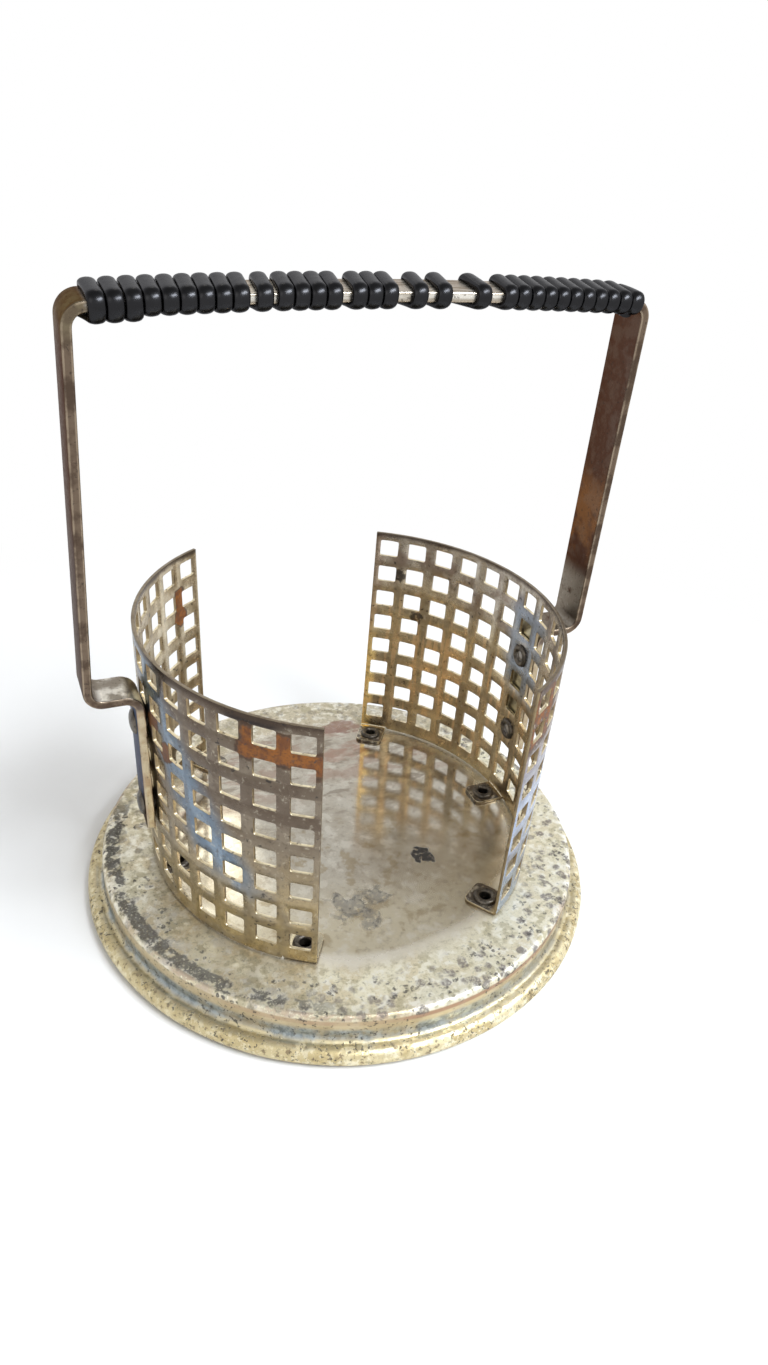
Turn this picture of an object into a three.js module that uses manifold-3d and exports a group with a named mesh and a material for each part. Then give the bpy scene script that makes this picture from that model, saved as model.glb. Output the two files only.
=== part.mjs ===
// Handled holder for a stack of round glass coasters, in plated sheet steel.
// A pressed dish stands on its rolled rim. Two curved, perforated galleries are riveted to it by
// bent-in tabs and leave a gap front and back for the fingers. A flat strap handle is riveted to
// the outside of both galleries, and its top bar is wound with black plastic cane.
// Millimetres, +Z up, the origin on the table under the middle of the dish. The galleries stand
// at -X and +X, and the front is at -Y.

import * as THREE from 'three';
import { mergeVertices } from 'three/addons/utils/BufferGeometryUtils.js';
import Module from 'manifold-3d';

// Galleries
const CAGE_RADIUS = 48;         // from the axis to the middle of each gallery's sheet
const GALLERY_SHEET = 0.8;
const GALLERY_LIFT = 0.4;       // the sheet's lower edge above the floor, between its tabs
const HOLE_COLUMNS = 13;
const HOLE_ROWS = 8;
const HOLE_WIDTH = 5.04;
const HOLE_HEIGHT = 4.5;
const COLUMN_PITCH = 7.95;
const ROW_PITCH = 7.66;
const TOP_MARGIN = 2.1;
const BOTTOM_MARGIN = 3.85;
const END_MARGIN = 1.3;
// Each is bent a little flatter than the cage's circle, turned about its middle and leans out.
const LEFT = { side: -1, name: 'left', flatter: 1.8, turn: 2.5, lean: 0.6 };
const RIGHT = { side: 1, name: 'right', flatter: 0.9, turn: 0, lean: 0.75 };

// Dish
const LEDGE_WIDTH = 13.3;       // from the galleries' sheet out to the dish's upright wall
const RIM_WIDTH = 4.2;          // from the wall out to the furthest reach of the rolled rim
const RIM_ROLL = 2.3;           // radius of the roll
const RIM_FOOT_CUT = 0.1;       // how much of the roll is flattened where it stands
const FLOOR_HEIGHT = 11.5;      // top of the flat floor
const DISH_SHEET = 0.9;
const SHOULDER_RADIUS = 0.4;    // inside round between floor and wall
const COVE_RADIUS = 1.7;        // hollow between wall and rim
const COVE_BLEND = 0.2;         // how deep the rounds of hollow and roll run into each other

// Tabs, three to a gallery, with an eyelet each
const TAB_CORNER = 1.6;
const EYELET_INSET = 4.7;       // from the gallery's sheet in to the eyelet's axis
const TAB_TIP = 4.1;            // from the eyelet's axis to the tab's tip
const EYELET_BARREL = 2.0;      // radius through the floor and the tab

// Heads of eyelets and rivets
const HOLLOW_WALL = 0.65;       // of an eyelet, and of a strap rivet's hollow end
const HEAD_LIP = 1.0;           // how far a head reaches out from its barrel
const HEAD_HEIGHT = 0.7;
const CLINCH_LIP = 0.7;
const CLINCH_HEIGHT = 0.5;
const DOME_HEIGHT = 1.1;
const HOLE_CLEARANCE = 0.3;     // around a barrel in a drilled hole
const RIVET_PLAY = 0.25;        // around a strap rivet in the gallery's square hole
const SEAT_GAP = 0.2;           // under a head
const RIVET_ROWS = [2, 5];      // rows of holes, from the top, that take the strap's rivets

// Strap handle
const STRAP_WIDTH = 9.6;
const STRAP_THICKNESS = 1.9;
const STRAP_GAP = 0.3;          // between the strap and the curved gallery
const STRAP_TAIL = 4.5;         // from the lower rivet down to the strap's end
const SHELF_DROP = 10.4;        // from the galleries' top down to the top of the strap's level run
const SHELF_LENGTH = 13.75;     // from the galleries' sheet out to the outside of the leg
const LEG_DRAW_IN = 3.2;        // how much nearer to the axis the leg is at the top
const GRIP_RISE = 68.73;        // from the galleries' top up to the middle of the top bar, at its ends
const GRIP_ARCH = 1.6;          // rise of the bar's middle
const GRIP_LEAN = 5.7;          // the bar stands this far to the front of the rivets
const SHELF_BEND = 3.2;         // bend radii are those of the strap's middle line
const CORNER_BEND = 3.6;

// Plastic cane wound round the top bar in two runs, with bare bar between them. The right run has
// as many turns as fit. Where turns have slid apart, the extra space is given before a turn.
const CANE_WIDTH = 2.5;
const CANE_THICKNESS = 1.1;
const CANE_SPACING = 0.47;      // between neighbouring turns
const CANE_GAP = 0.35;          // between the cane and the bar
const CANE_BEND = 1.2;          // round the bar's edges, at the cane's middle line
const CANE_LEFT_INSET = 4.9;    // from the left leg's middle line to the first turn's front
const CANE_RIGHT_INSET = 3.0;   // least distance from the last turn's front to the right leg's
const CANE_LEFT_TURNS = 19;
const CANE_LEFT_SPACES = { 9: 1.25, 10: 0.8, 14: 1.8, 17: 3.0, 18: 2.0 };
const CANE_RIGHT_SPACES = { 1: 2.6 };
const BARE_GAP = 8.69;          // from the left run's last front to the right run's first

// Facets
const DISH_SEGMENTS = 56;
const EYELET_SEGMENTS = 12;
const HOLE_SEGMENTS = 16;
const HEAD_STEPS = 4;
const BEND_STEP = 18;           // degrees of a bend to a facet
const BAR_STEPS = 8;
const DRILL_OVERRUN = 2;        // how far a cutter passes the faces it cuts

const PLATED = { color: 0xcdc39c, roughness: 0.38, metalness: 0.9 };
const TARNISHED = { color: 0x9c8a66, roughness: 0.36, metalness: 0.9 };
const BROWNED = { color: 0x806a56, roughness: 0.42, metalness: 0.85 };
const DARK_EYELET = { color: 0x4e4a42, roughness: 0.45, metalness: 0.85 };
const BLACK_CANE = { color: 0x0c0c0e, roughness: 0.28, metalness: 0.0 };

const wallRadius = CAGE_RADIUS + LEDGE_WIDTH;
const galleryFoot = FLOOR_HEIGHT + GALLERY_LIFT;
const galleryTop = galleryFoot + BOTTOM_MARGIN + (HOLE_ROWS - 1) * ROW_PITCH + HOLE_HEIGHT + TOP_MARGIN;
const endColumnArc = ((HOLE_COLUMNS - 1) / 2) * COLUMN_PITCH;
const halfArc = endColumnArc + HOLE_WIDTH / 2 + END_MARGIN;
const tabWidth = HOLE_WIDTH + 2 * END_MARGIN;
const rivetBarrel = Math.min(HOLE_WIDTH, HOLE_HEIGHT) / 2 - RIVET_PLAY;
const shelfHeight = galleryTop - SHELF_DROP - STRAP_THICKNESS / 2;
const gripHeight = galleryTop + GRIP_RISE;
const legFoot = CAGE_RADIUS + SHELF_LENGTH - STRAP_THICKNESS / 2;
const legTop = legFoot - LEG_DRAW_IN;
const canePitch = CANE_WIDTH + CANE_SPACING;

const wasm = await Module();
wasm.setup();

function radians(degrees) {
  return (degrees * Math.PI) / 180;
}

// Points on an arc about (cx, cy), from one angle to another, both ends included. With a rise of
// its own it is part of an ellipse that is this high.
function arc(cx, cy, radius, from, to, steps, rise = radius) {
  const points = [];
  for (let i = 0; i <= steps; i += 1) {
    const angle = radians(from + ((to - from) * i) / steps);
    points.push(new THREE.Vector2(cx + radius * Math.cos(angle), cy + rise * Math.sin(angle)));
  }
  return points;
}

function indexed(positions, triangles) {
  const geometry = new THREE.BufferGeometry();
  geometry.setAttribute('position', new THREE.Float32BufferAttribute(positions, 3));
  geometry.setIndex(triangles);
  return geometry;
}

// A closed solid of a geometry, with shared vertices merged and empty triangles left out.
function solidOf(geometry) {
  const bare = geometry.clone();
  bare.deleteAttribute('normal');
  bare.deleteAttribute('uv');
  const merged = mergeVertices(bare);
  const corners = merged.index.array;
  const kept = [];
  for (let i = 0; i < corners.length; i += 3) {
    const [a, b, c] = [corners[i], corners[i + 1], corners[i + 2]];
    if (a !== b && b !== c && c !== a) kept.push(a, b, c);
  }
  return new wasm.Manifold(new wasm.Mesh({
    numProp: 3,
    vertProperties: new Float32Array(merged.attributes.position.array),
    triVerts: new Uint32Array(kept),
  }));
}

function geometryOf(solid) {
  const mesh = solid.getMesh();
  const geometry = indexed(Array.from(mesh.vertProperties), Array.from(mesh.triVerts));
  geometry.computeVertexNormals();
  return geometry;
}

function piece(name, geometry, look) {
  const mesh = new THREE.Mesh(geometry, new THREE.MeshStandardMaterial(look));
  mesh.name = name;
  return mesh;
}

// A turned solid about Z from a profile of (radius, height) points, listed anticlockwise.
function turned(profile, segments) {
  const geometry = new THREE.LatheGeometry(profile, segments);
  geometry.rotateX(Math.PI / 2);
  return geometry;
}

// A round cutter for a barrel's hole through a sheet, centred on the origin, along Y.
function drill(barrel, sheet) {
  const radius = barrel + HOLE_CLEARANCE;
  return new THREE.CylinderGeometry(radius, radius, sheet + 2 * DRILL_OVERRUN, HOLE_SEGMENTS);
}

// The cutter for a base eyelet, upright at its place.
function eyeletDrill(place, sheet) {
  const cutter = drill(EYELET_BARREL, sheet);
  cutter.rotateX(Math.PI / 2);
  cutter.translate(place.x, place.y, place.z);
  return solidOf(cutter);
}

// The dish

// Where two round sections cross, on the side towards the axis: the angle in degrees about each.
function crossing(lower, lowerRadius, upper, upperRadius) {
  const between = upper.clone().sub(lower);
  const distance = between.length();
  const toLine = (distance ** 2 + lowerRadius ** 2 - upperRadius ** 2) / (2 * distance);
  const offLine = Math.sqrt(lowerRadius ** 2 - toLine ** 2);
  const ahead = between.divideScalar(distance);
  const inward = new THREE.Vector2(-ahead.y, ahead.x);
  const point = lower.clone().addScaledVector(ahead, toLine).addScaledVector(inward, offLine);
  const angleAbout = (centre) => THREE.MathUtils.radToDeg(point.clone().sub(centre).angle());
  return [angleAbout(lower), angleAbout(upper)];
}

function dishProfile() {
  const roll = new THREE.Vector2(wallRadius + RIM_WIDTH - RIM_ROLL, RIM_ROLL - RIM_FOOT_CUT);
  const coveX = wallRadius + COVE_RADIUS;
  const reach = RIM_ROLL + COVE_RADIUS - COVE_BLEND;
  const cove = new THREE.Vector2(coveX, roll.y + Math.sqrt(reach ** 2 - (roll.x - coveX) ** 2));
  const shoulder = SHOULDER_RADIUS + DISH_SHEET;
  const shoulderX = wallRadius - shoulder;
  const shoulderZ = FLOOR_HEIGHT - shoulder;
  const footAngle = THREE.MathUtils.radToDeg(Math.acos(roll.y / RIM_ROLL));
  const [rollOuter, coveOuter] = crossing(roll, RIM_ROLL, cove, COVE_RADIUS);
  const [rollInner, coveInner] = crossing(roll, RIM_ROLL, cove, COVE_RADIUS + DISH_SHEET);
  const outer = [
    new THREE.Vector2(0, FLOOR_HEIGHT),
    ...arc(shoulderX, shoulderZ, shoulder, 90, 0, 4),
    ...arc(cove.x, cove.y, COVE_RADIUS, 180, coveOuter, 4),
    ...arc(roll.x, roll.y, RIM_ROLL, rollOuter, 0, 5).slice(1),
    ...arc(roll.x, roll.y, RIM_ROLL, 0, -90 + footAngle, 4).slice(1),
  ];
  const inner = [
    ...arc(roll.x, roll.y, RIM_ROLL, -90 - footAngle, rollInner - 360, 4),
    ...arc(cove.x, cove.y, COVE_RADIUS + DISH_SHEET, coveInner, 180, 2).slice(1),
    ...arc(shoulderX, shoulderZ, SHOULDER_RADIUS, 0, 90, 2),
    new THREE.Vector2(0, FLOOR_HEIGHT - DISH_SHEET),
  ];
  return [...outer, ...inner].reverse();
}

function makeDish(eyeletPlaces) {
  let dish = solidOf(turned(dishProfile(), DISH_SEGMENTS));
  for (const place of eyeletPlaces) {
    dish = dish.subtract(eyeletDrill(place, DISH_SHEET));
  }
  return piece('dish', geometryOf(dish), PLATED);
}

// The galleries

// The place at an arc length from the gallery's middle, a height, and a distance outside the
// middle of its sheet.
function onGallery(gallery, along, height, outside) {
  const bend = CAGE_RADIUS + gallery.flatter;
  const facing = (gallery.side > 0 ? 0 : Math.PI) + radians(gallery.turn);
  const angle = facing + along / bend;
  const leaning = (height - FLOOR_HEIGHT) * Math.tan(radians(gallery.lean));
  const reach = bend + outside;
  return new THREE.Vector3(
    gallery.side * CAGE_RADIUS + (leaning - bend) * Math.cos(facing) + reach * Math.cos(angle),
    (leaning - bend) * Math.sin(facing) + reach * Math.sin(angle),
    height,
  );
}

// Lines along which the sheet's facets meet: its two edges and both sides of each hole.
function holeLines(start, margin, pitch, size, count, end) {
  const lines = [start];
  for (let i = 0; i < count; i += 1) {
    lines.push(start + margin + i * pitch, start + margin + i * pitch + size);
  }
  return [...lines, end];
}

function perforatedSheet(gallery) {
  const across = holeLines(-halfArc, END_MARGIN, COLUMN_PITCH, HOLE_WIDTH, HOLE_COLUMNS, halfArc);
  const up = holeLines(galleryFoot, BOTTOM_MARGIN, ROW_PITCH, HOLE_HEIGHT, HOLE_ROWS, galleryTop);
  const positions = [];
  for (const outside of [GALLERY_SHEET / 2, -GALLERY_SHEET / 2]) {
    for (const height of up) {
      for (const along of across) {
        positions.push(...onGallery(gallery, along, height, outside).toArray());
      }
    }
  }
  const triangles = [];
  const columns = across.length - 1;
  const rows = up.length - 1;
  const corner = (i, j, face) => (face * up.length + j) * across.length + i;
  const quad = (a, b, c, d) => triangles.push(a, b, c, a, c, d);
  const isMetal = (i, j) => {
    const inSheet = i >= 0 && j >= 0 && i < columns && j < rows;
    return inSheet && !(i % 2 === 1 && j % 2 === 1);
  };
  for (let j = 0; j < rows; j += 1) {
    for (let i = 0; i < columns; i += 1) {
      if (!isMetal(i, j)) continue;
      quad(corner(i, j, 0), corner(i + 1, j, 0), corner(i + 1, j + 1, 0), corner(i, j + 1, 0));
      quad(corner(i, j + 1, 1), corner(i + 1, j + 1, 1), corner(i + 1, j, 1), corner(i, j, 1));
      const wall = (i0, j0, i1, j1) => {
        quad(corner(i0, j0, 1), corner(i1, j1, 1), corner(i1, j1, 0), corner(i0, j0, 0));
      };
      if (!isMetal(i, j - 1)) wall(i, j, i + 1, j);
      if (!isMetal(i + 1, j)) wall(i + 1, j, i + 1, j + 1);
      if (!isMetal(i, j + 1)) wall(i + 1, j + 1, i, j + 1);
      if (!isMetal(i - 1, j)) wall(i, j + 1, i, j);
    }
  }
  return indexed(positions, triangles);
}

// Where a tab joins its gallery, on the floor, with the direction that points inwards.
function tabSeat(gallery, along) {
  const place = onGallery(gallery, along, FLOOR_HEIGHT, 0);
  const inward = onGallery(gallery, along, FLOOR_HEIGHT, -1).sub(place);
  return { place, inward };
}

function tabSolid(gallery, along) {
  const root = -GALLERY_SHEET / 4;
  const tip = EYELET_INSET + TAB_TIP;
  const half = tabWidth / 2;
  const outline = new THREE.Shape([
    new THREE.Vector2(root, -half),
    ...arc(tip - TAB_CORNER, -half + TAB_CORNER, TAB_CORNER, -90, 0, 3),
    ...arc(tip - TAB_CORNER, half - TAB_CORNER, TAB_CORNER, 0, 90, 3),
    new THREE.Vector2(root, half),
  ]);
  const slab = new THREE.ExtrudeGeometry(outline, { depth: GALLERY_SHEET, bevelEnabled: false });
  const { place, inward } = tabSeat(gallery, along);
  slab.rotateZ(Math.atan2(inward.y, inward.x));
  slab.translate(place.x, place.y, FLOOR_HEIGHT);
  return solidOf(slab);
}

// The three tabs of a gallery: where each lies along it, and its eyelet's axis on the floor.
function tabsOf(gallery) {
  return [['front', -1], ['middle', 0], ['back', 1]].map(([end, step]) => {
    const along = step * gallery.side * endColumnArc;
    const { place, inward } = tabSeat(gallery, along);
    return { end, along, eyelet: place.addScaledVector(inward, EYELET_INSET) };
  });
}

function makeGallery(gallery) {
  let solid = solidOf(perforatedSheet(gallery));
  for (const tab of tabsOf(gallery)) {
    solid = solid.add(tabSolid(gallery, tab.along));
    solid = solid.subtract(eyeletDrill(tab.eyelet, GALLERY_SHEET));
  }
  return piece(`gallery_${gallery.name}`, geometryOf(solid), TARNISHED);
}

// Eyelets and rivets

// A hollow eyelet through the floor and a tab, with a rolled head above and a clinched foot below.
function makeBaseEyelet(gallery, tab) {
  const seat = FLOOR_HEIGHT + GALLERY_SHEET + SEAT_GAP;
  const foot = FLOOR_HEIGHT - DISH_SHEET - SEAT_GAP;
  const bore = EYELET_BARREL - HOLLOW_WALL;
  const headHalf = (HOLLOW_WALL + HEAD_LIP) / 2;
  const clinchHalf = (HOLLOW_WALL + CLINCH_LIP) / 2;
  const profile = [
    ...arc(bore + clinchHalf, foot, clinchHalf, 180, 360, HEAD_STEPS, CLINCH_HEIGHT),
    new THREE.Vector2(EYELET_BARREL, foot),
    new THREE.Vector2(EYELET_BARREL, seat),
    ...arc(bore + headHalf, seat, headHalf, 0, 180, HEAD_STEPS, HEAD_HEIGHT),
    new THREE.Vector2(bore, foot),
  ];
  const eyelet = piece(`base_eyelet_${gallery.name}_${tab.end}`, turned(profile, EYELET_SEGMENTS), DARK_EYELET);
  eyelet.position.set(tab.eyelet.x, tab.eyelet.y, 0);
  return eyelet;
}

// The strap's inner face beside a gallery, measured from the axis.
function strapInside(gallery, height) {
  const outside = onGallery(gallery, 0, height, GALLERY_SHEET / 2);
  return Math.abs(outside.x) + STRAP_GAP;
}

function rivetHeight(row) {
  return galleryTop - TOP_MARGIN - row * ROW_PITCH - HOLE_HEIGHT / 2;
}

// A rivet with a domed head on the strap and a hollow, rolled end inside the gallery. Its profile
// is drawn with the head upwards and height 0 at the gallery's outer face.
function makeStrapRivet(gallery, row, name) {
  const seat = STRAP_GAP + STRAP_THICKNESS + SEAT_GAP;
  const foot = -GALLERY_SHEET - SEAT_GAP;
  const bore = rivetBarrel - HOLLOW_WALL;
  const rollHalf = (HOLLOW_WALL + HEAD_LIP) / 2;
  const profile = [
    new THREE.Vector2(0, foot),
    ...arc(bore + rollHalf, foot, rollHalf, 180, 360, HEAD_STEPS, HEAD_HEIGHT),
    new THREE.Vector2(rivetBarrel, foot),
    new THREE.Vector2(rivetBarrel, seat),
    ...arc(0, seat, rivetBarrel + HEAD_LIP, 0, 60, 2, DOME_HEIGHT),
    new THREE.Vector2(0, seat + DOME_HEIGHT),
  ];
  const rivet = piece(`strap_rivet_${gallery.name}_${name}`, turned(profile, EYELET_SEGMENTS), DARK_EYELET);
  const height = rivetHeight(row);
  rivet.rotation.y = (gallery.side * Math.PI) / 2;
  rivet.position.set(gallery.side * (strapInside(gallery, height) - STRAP_GAP), 0, height);
  return rivet;
}

// The strap handle

// A polyline through corners that are rounded to the given radii, with the normal at each point.
function roundedPath(corners) {
  const path = [];
  corners.forEach(({ at, radius }, i) => {
    const before = corners[i - 1];
    const after = corners[i + 1];
    if (!before || !after || !radius) {
      const ahead = (after ?? { at }).at.clone().sub((before ?? { at }).at).normalize();
      path.push({ at: at.clone(), normal: new THREE.Vector2(-ahead.y, ahead.x) });
      return;
    }
    const into = at.clone().sub(before.at).normalize();
    const out = after.at.clone().sub(at).normalize();
    const turn = Math.atan2(into.cross(out), into.dot(out));
    const steps = Math.ceil(Math.abs(turn) / radians(BEND_STEP));
    const hand = Math.sign(turn);
    const start = at.clone().addScaledVector(into, -radius * Math.tan(Math.abs(turn) / 2));
    const side = new THREE.Vector2(-into.y, into.x).multiplyScalar(hand);
    const centre = start.clone().addScaledVector(side, radius);
    for (let k = 0; k <= steps; k += 1) {
      const swing = (turn * k) / steps;
      const point = start.clone().rotateAround(centre, swing);
      const normal = point.clone().sub(centre).multiplyScalar(-hand / radius);
      path.push({ at: point, normal });
    }
  });
  return path;
}

// The strap's middle line in the XZ plane, from the left foot over the top to the right foot.
function strapLine() {
  const half = STRAP_THICKNESS / 2;
  const footHeight = rivetHeight(RIVET_ROWS[1]) - STRAP_TAIL;
  const arm = (gallery) => [
    { at: [strapInside(gallery, footHeight) + half, footHeight], radius: 0 },
    { at: [strapInside(gallery, shelfHeight) + half, shelfHeight], radius: SHELF_BEND },
    { at: [legFoot, shelfHeight], radius: SHELF_BEND },
    { at: [legTop, gripHeight], radius: CORNER_BEND },
  ].map(({ at, radius }) => ({ at: new THREE.Vector2(gallery.side * at[0], at[1]), radius }));
  const bar = [];
  for (let i = 1; i < BAR_STEPS; i += 1) {
    const share = (2 * i) / BAR_STEPS - 1;
    const height = gripHeight + GRIP_ARCH * (1 - share ** 2);
    bar.push({ at: new THREE.Vector2(share * legTop, height), radius: 0 });
  }
  return roundedPath([...arm(LEFT), ...bar, ...arm(RIGHT).reverse()]);
}

// Where the lean puts a point of the upright strap, or of what is wound round it. The strap stands
// upright up to the shelf and then leans evenly to the front. It turns as it leans, so the bar's
// back edge is higher than its front edge.
function leaned(point) {
  const slope = GRIP_LEAN / (gripHeight - shelfHeight);
  const reached = Math.max(0, point.z - shelfHeight) / (gripHeight - shelfHeight);
  const forward = GRIP_LEAN * reached;
  const lift = point.y * slope * reached;
  return new THREE.Vector3(point.x, point.y - forward, point.z + lift);
}

function makeStrap(line) {
  const half = STRAP_THICKNESS / 2;
  const upper = line.map(({ at, normal }) => at.clone().addScaledVector(normal, half));
  const lower = line.map(({ at, normal }) => at.clone().addScaledVector(normal, -half));
  const outline = new THREE.Shape([...lower, ...upper.reverse()]);
  const bar = new THREE.ExtrudeGeometry(outline, { depth: STRAP_WIDTH, bevelEnabled: false });
  bar.translate(0, 0, -STRAP_WIDTH / 2);
  bar.rotateX(Math.PI / 2);
  const position = bar.attributes.position;
  for (let i = 0; i < position.count; i += 1) {
    const point = leaned(new THREE.Vector3().fromBufferAttribute(position, i));
    position.setXYZ(i, point.x, point.y, point.z);
  }
  let strap = solidOf(bar);
  for (const gallery of [LEFT, RIGHT]) {
    for (const row of RIVET_ROWS) {
      const height = rivetHeight(row);
      const cutter = drill(rivetBarrel, STRAP_THICKNESS);
      cutter.rotateZ(Math.PI / 2);
      cutter.translate(gallery.side * (strapInside(gallery, height) + half), 0, height);
      strap = strap.subtract(solidOf(cutter));
    }
  }
  return piece('handle_strap', geometryOf(strap), BROWNED);
}

// The cane

// One loop round the bar, as (across, above) places with the outward direction at each, from the
// back end of the underside to the front, up, over the top and down the back. It also says which
// spots end the underside, lie on the front edge and lie on the back edge.
function caneLoop() {
  const a = STRAP_WIDTH / 2 + CANE_GAP + CANE_THICKNESS / 2 - CANE_BEND;
  const b = STRAP_THICKNESS / 2 + CANE_GAP + CANE_THICKNESS / 2 - CANE_BEND;
  const spots = [];
  const add = (x, y, angle) => {
    const out = new THREE.Vector2(Math.cos(radians(angle)), Math.sin(radians(angle)));
    spots.push({ at: new THREE.Vector2(x, y).addScaledVector(out, CANE_BEND), out });
  };
  const corner = (x, y, from) => [0, 45, 90].forEach((turn) => add(x, y, from - turn));
  add(a, -b, 270);
  add(0, -b, 270);
  const underside = spots.length;
  corner(-a, -b, 270);
  const front = spots.length - 1;
  corner(-a, b, 180);
  add(0, b, 90);
  corner(a, b, 90);
  const back = spots.length - 1;
  corner(a, -b, 0);
  spots.pop();
  let length = 0;
  spots.forEach((spot, i) => {
    spot.travel = length;
    length += spot.at.distanceTo(spots[(i + 1) % spots.length].at);
  });
  const shared = spots.map((spot) => ({ ...spot, share: spot.travel / length }));
  return { spots: shared, underside, front, back };
}

// The extra space that lies before a turn of a run, with all the turns up to it.
function spaceUpTo(spaces, turn) {
  const opened = Object.entries(spaces).filter(([before]) => Number(before) <= turn);
  return opened.reduce((total, [, space]) => total + space, 0);
}

// Both runs: where the first turn crosses the bar's front edge, from the bar's middle, and how many
// turns there are.
function caneRuns() {
  const leftStart = CANE_LEFT_INSET - legTop;
  const lastLeft = CANE_LEFT_TURNS - 1;
  const leftEnd = leftStart + lastLeft * canePitch + spaceUpTo(CANE_LEFT_SPACES, lastLeft);
  const rightStart = leftEnd + BARE_GAP;
  const room = legTop - CANE_RIGHT_INSET - rightStart - spaceUpTo(CANE_RIGHT_SPACES, Infinity);
  const rightTurns = 1 + Math.floor(room / canePitch);
  return [
    {
      name: 'grip_cane_left',
      start: leftStart,
      turns: CANE_LEFT_TURNS,
      spaces: CANE_LEFT_SPACES,
    },
    {
      name: 'grip_cane_right',
      start: rightStart,
      turns: rightTurns,
      spaces: CANE_RIGHT_SPACES,
    },
  ];
}

// The place and the upward direction at a distance along the strap's middle line from its top.
function followBar(line, distance) {
  const middle = line.findIndex(({ at }) => at.x === 0);
  const step = distance < 0 ? -1 : 1;
  let left = Math.abs(distance);
  let i = middle;
  while (left > line[i].at.distanceTo(line[i + step].at)) {
    left -= line[i].at.distanceTo(line[i + step].at);
    i += step;
  }
  const share = left / line[i].at.distanceTo(line[i + step].at);
  const at = line[i].at.clone().lerp(line[i + step].at, share);
  const up = line[i].normal.clone().lerp(line[i + step].normal, share).normalize();
  return { at, up };
}

// The cane's middle line and outward directions through all turns of a run, which ends on the bar's
// back edge. Extra space is crossed on the underside.
function canePath(line, loop, run) {
  const frontShare = loop.spots[loop.front].share;
  const undersideShare = loop.spots[loop.underside].share;
  const path = [];
  for (let turn = 0; turn < run.turns; turn += 1) {
    const spaceBefore = spaceUpTo(run.spaces, turn - 1);
    const space = spaceUpTo(run.spaces, turn) - spaceBefore;
    const end = turn === run.turns - 1 ? loop.back + 1 : loop.spots.length;
    for (const { at, out, share } of loop.spots.slice(0, end)) {
      const eased = THREE.MathUtils.smoothstep(share, 0, undersideShare);
      const turnsOn = turn + share - frontShare;
      const along = run.start + turnsOn * canePitch + spaceBefore + space * eased;
      const bar = followBar(line, along);
      const reach = (v) => new THREE.Vector3(bar.up.x * v.y, v.x, bar.up.y * v.y);
      const upright = reach(at).add(new THREE.Vector3(bar.at.x, 0, bar.at.y));
      path.push({ place: leaned(upright), out: reach(out).normalize() });
    }
  }
  return path;
}

// The cane's section: flat inside and crowned outside, as (along the bar, outwards) points.
function caneSection() {
  const w = CANE_WIDTH / 2;
  const t = CANE_THICKNESS / 2;
  const shoulder = 0.1 * t;
  const crown = 0.5 * w;
  return [[-w, -t], [w, -t], [w, shoulder], [crown, t], [-crown, t], [-w, shoulder]];
}

// The least distance between a ring of points and the rings one turn further on.
function leastTurnGap(rings, loopSteps) {
  let least = Infinity;
  rings.forEach((ring, i) => {
    for (let k = i + loopSteps - 1; k <= Math.min(i + loopSteps + 1, rings.length - 1); k += 1) {
      for (const p of ring) {
        for (const q of rings[k]) {
          least = Math.min(least, p.distanceTo(q));
        }
      }
    }
  });
  return least;
}

function makeCane(line, loop, run) {
  const path = canePath(line, loop, run);
  const section = caneSection();
  const rings = path.map(({ place, out }, i) => {
    const before = path[Math.max(0, i - 1)].place;
    const after = path[Math.min(path.length - 1, i + 1)].place;
    const ahead = after.clone().sub(before).normalize();
    const across = ahead.clone().cross(out).normalize();
    const outward = across.clone().cross(ahead);
    return section.map(([u, v]) => place.clone().addScaledVector(across, u).addScaledVector(outward, v));
  });
  const sides = section.length;
  const positions = rings.flat().flatMap((point) => point.toArray());
  const triangles = [];
  for (let i = 0; i + 1 < rings.length; i += 1) {
    for (let k = 0; k < sides; k += 1) {
      const a = i * sides + k;
      const b = i * sides + ((k + 1) % sides);
      triangles.push(a, b + sides, b, a, a + sides, b + sides);
    }
  }
  const last = (rings.length - 1) * sides;
  for (let k = 1; k + 1 < sides; k += 1) {
    triangles.push(0, k, k + 1, last, last + k + 1, last + k);
  }
  const gap = leastTurnGap(rings, loop.spots.length);
  console.log(`${run.name}: ${run.turns} turns, least gap between turns ${gap.toFixed(2)} mm`);
  return piece(run.name, indexed(positions, triangles), BLACK_CANE);
}

function makeHolder() {
  const holder = new THREE.Group();
  const tabs = [LEFT, RIGHT].flatMap((gallery) => tabsOf(gallery).map((tab) => ({ gallery, tab })));
  const line = strapLine();
  const loop = caneLoop();
  holder.add(makeDish(tabs.map(({ tab }) => tab.eyelet)));
  for (const gallery of [LEFT, RIGHT]) {
    holder.add(makeGallery(gallery));
    holder.add(makeStrapRivet(gallery, RIVET_ROWS[0], 'upper'));
    holder.add(makeStrapRivet(gallery, RIVET_ROWS[1], 'lower'));
  }
  for (const { gallery, tab } of tabs) {
    holder.add(makeBaseEyelet(gallery, tab));
  }
  holder.add(makeStrap(line));
  for (const run of caneRuns()) {
    holder.add(makeCane(line, loop, run));
  }
  return holder;
}

export default makeHolder();
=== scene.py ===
"""The looks of a handled holder for round glass coasters, built on its packed frame.

A pressed dish with a curled rim, two perforated galleries riveted to it by their tabs, a flat
strap handle, and a strip of black cane wound round the handle's top bar. Everything is in
metres, in the frame's own axes: the galleries stand at -X and +X and the front is at -Y.
"""

import math
from collections import namedtuple

import bmesh
import bpy
import numpy as np
from bpy.props import FloatProperty, FloatVectorProperty, IntProperty, PointerProperty
from mathutils import Matrix, Vector, noise


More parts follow.
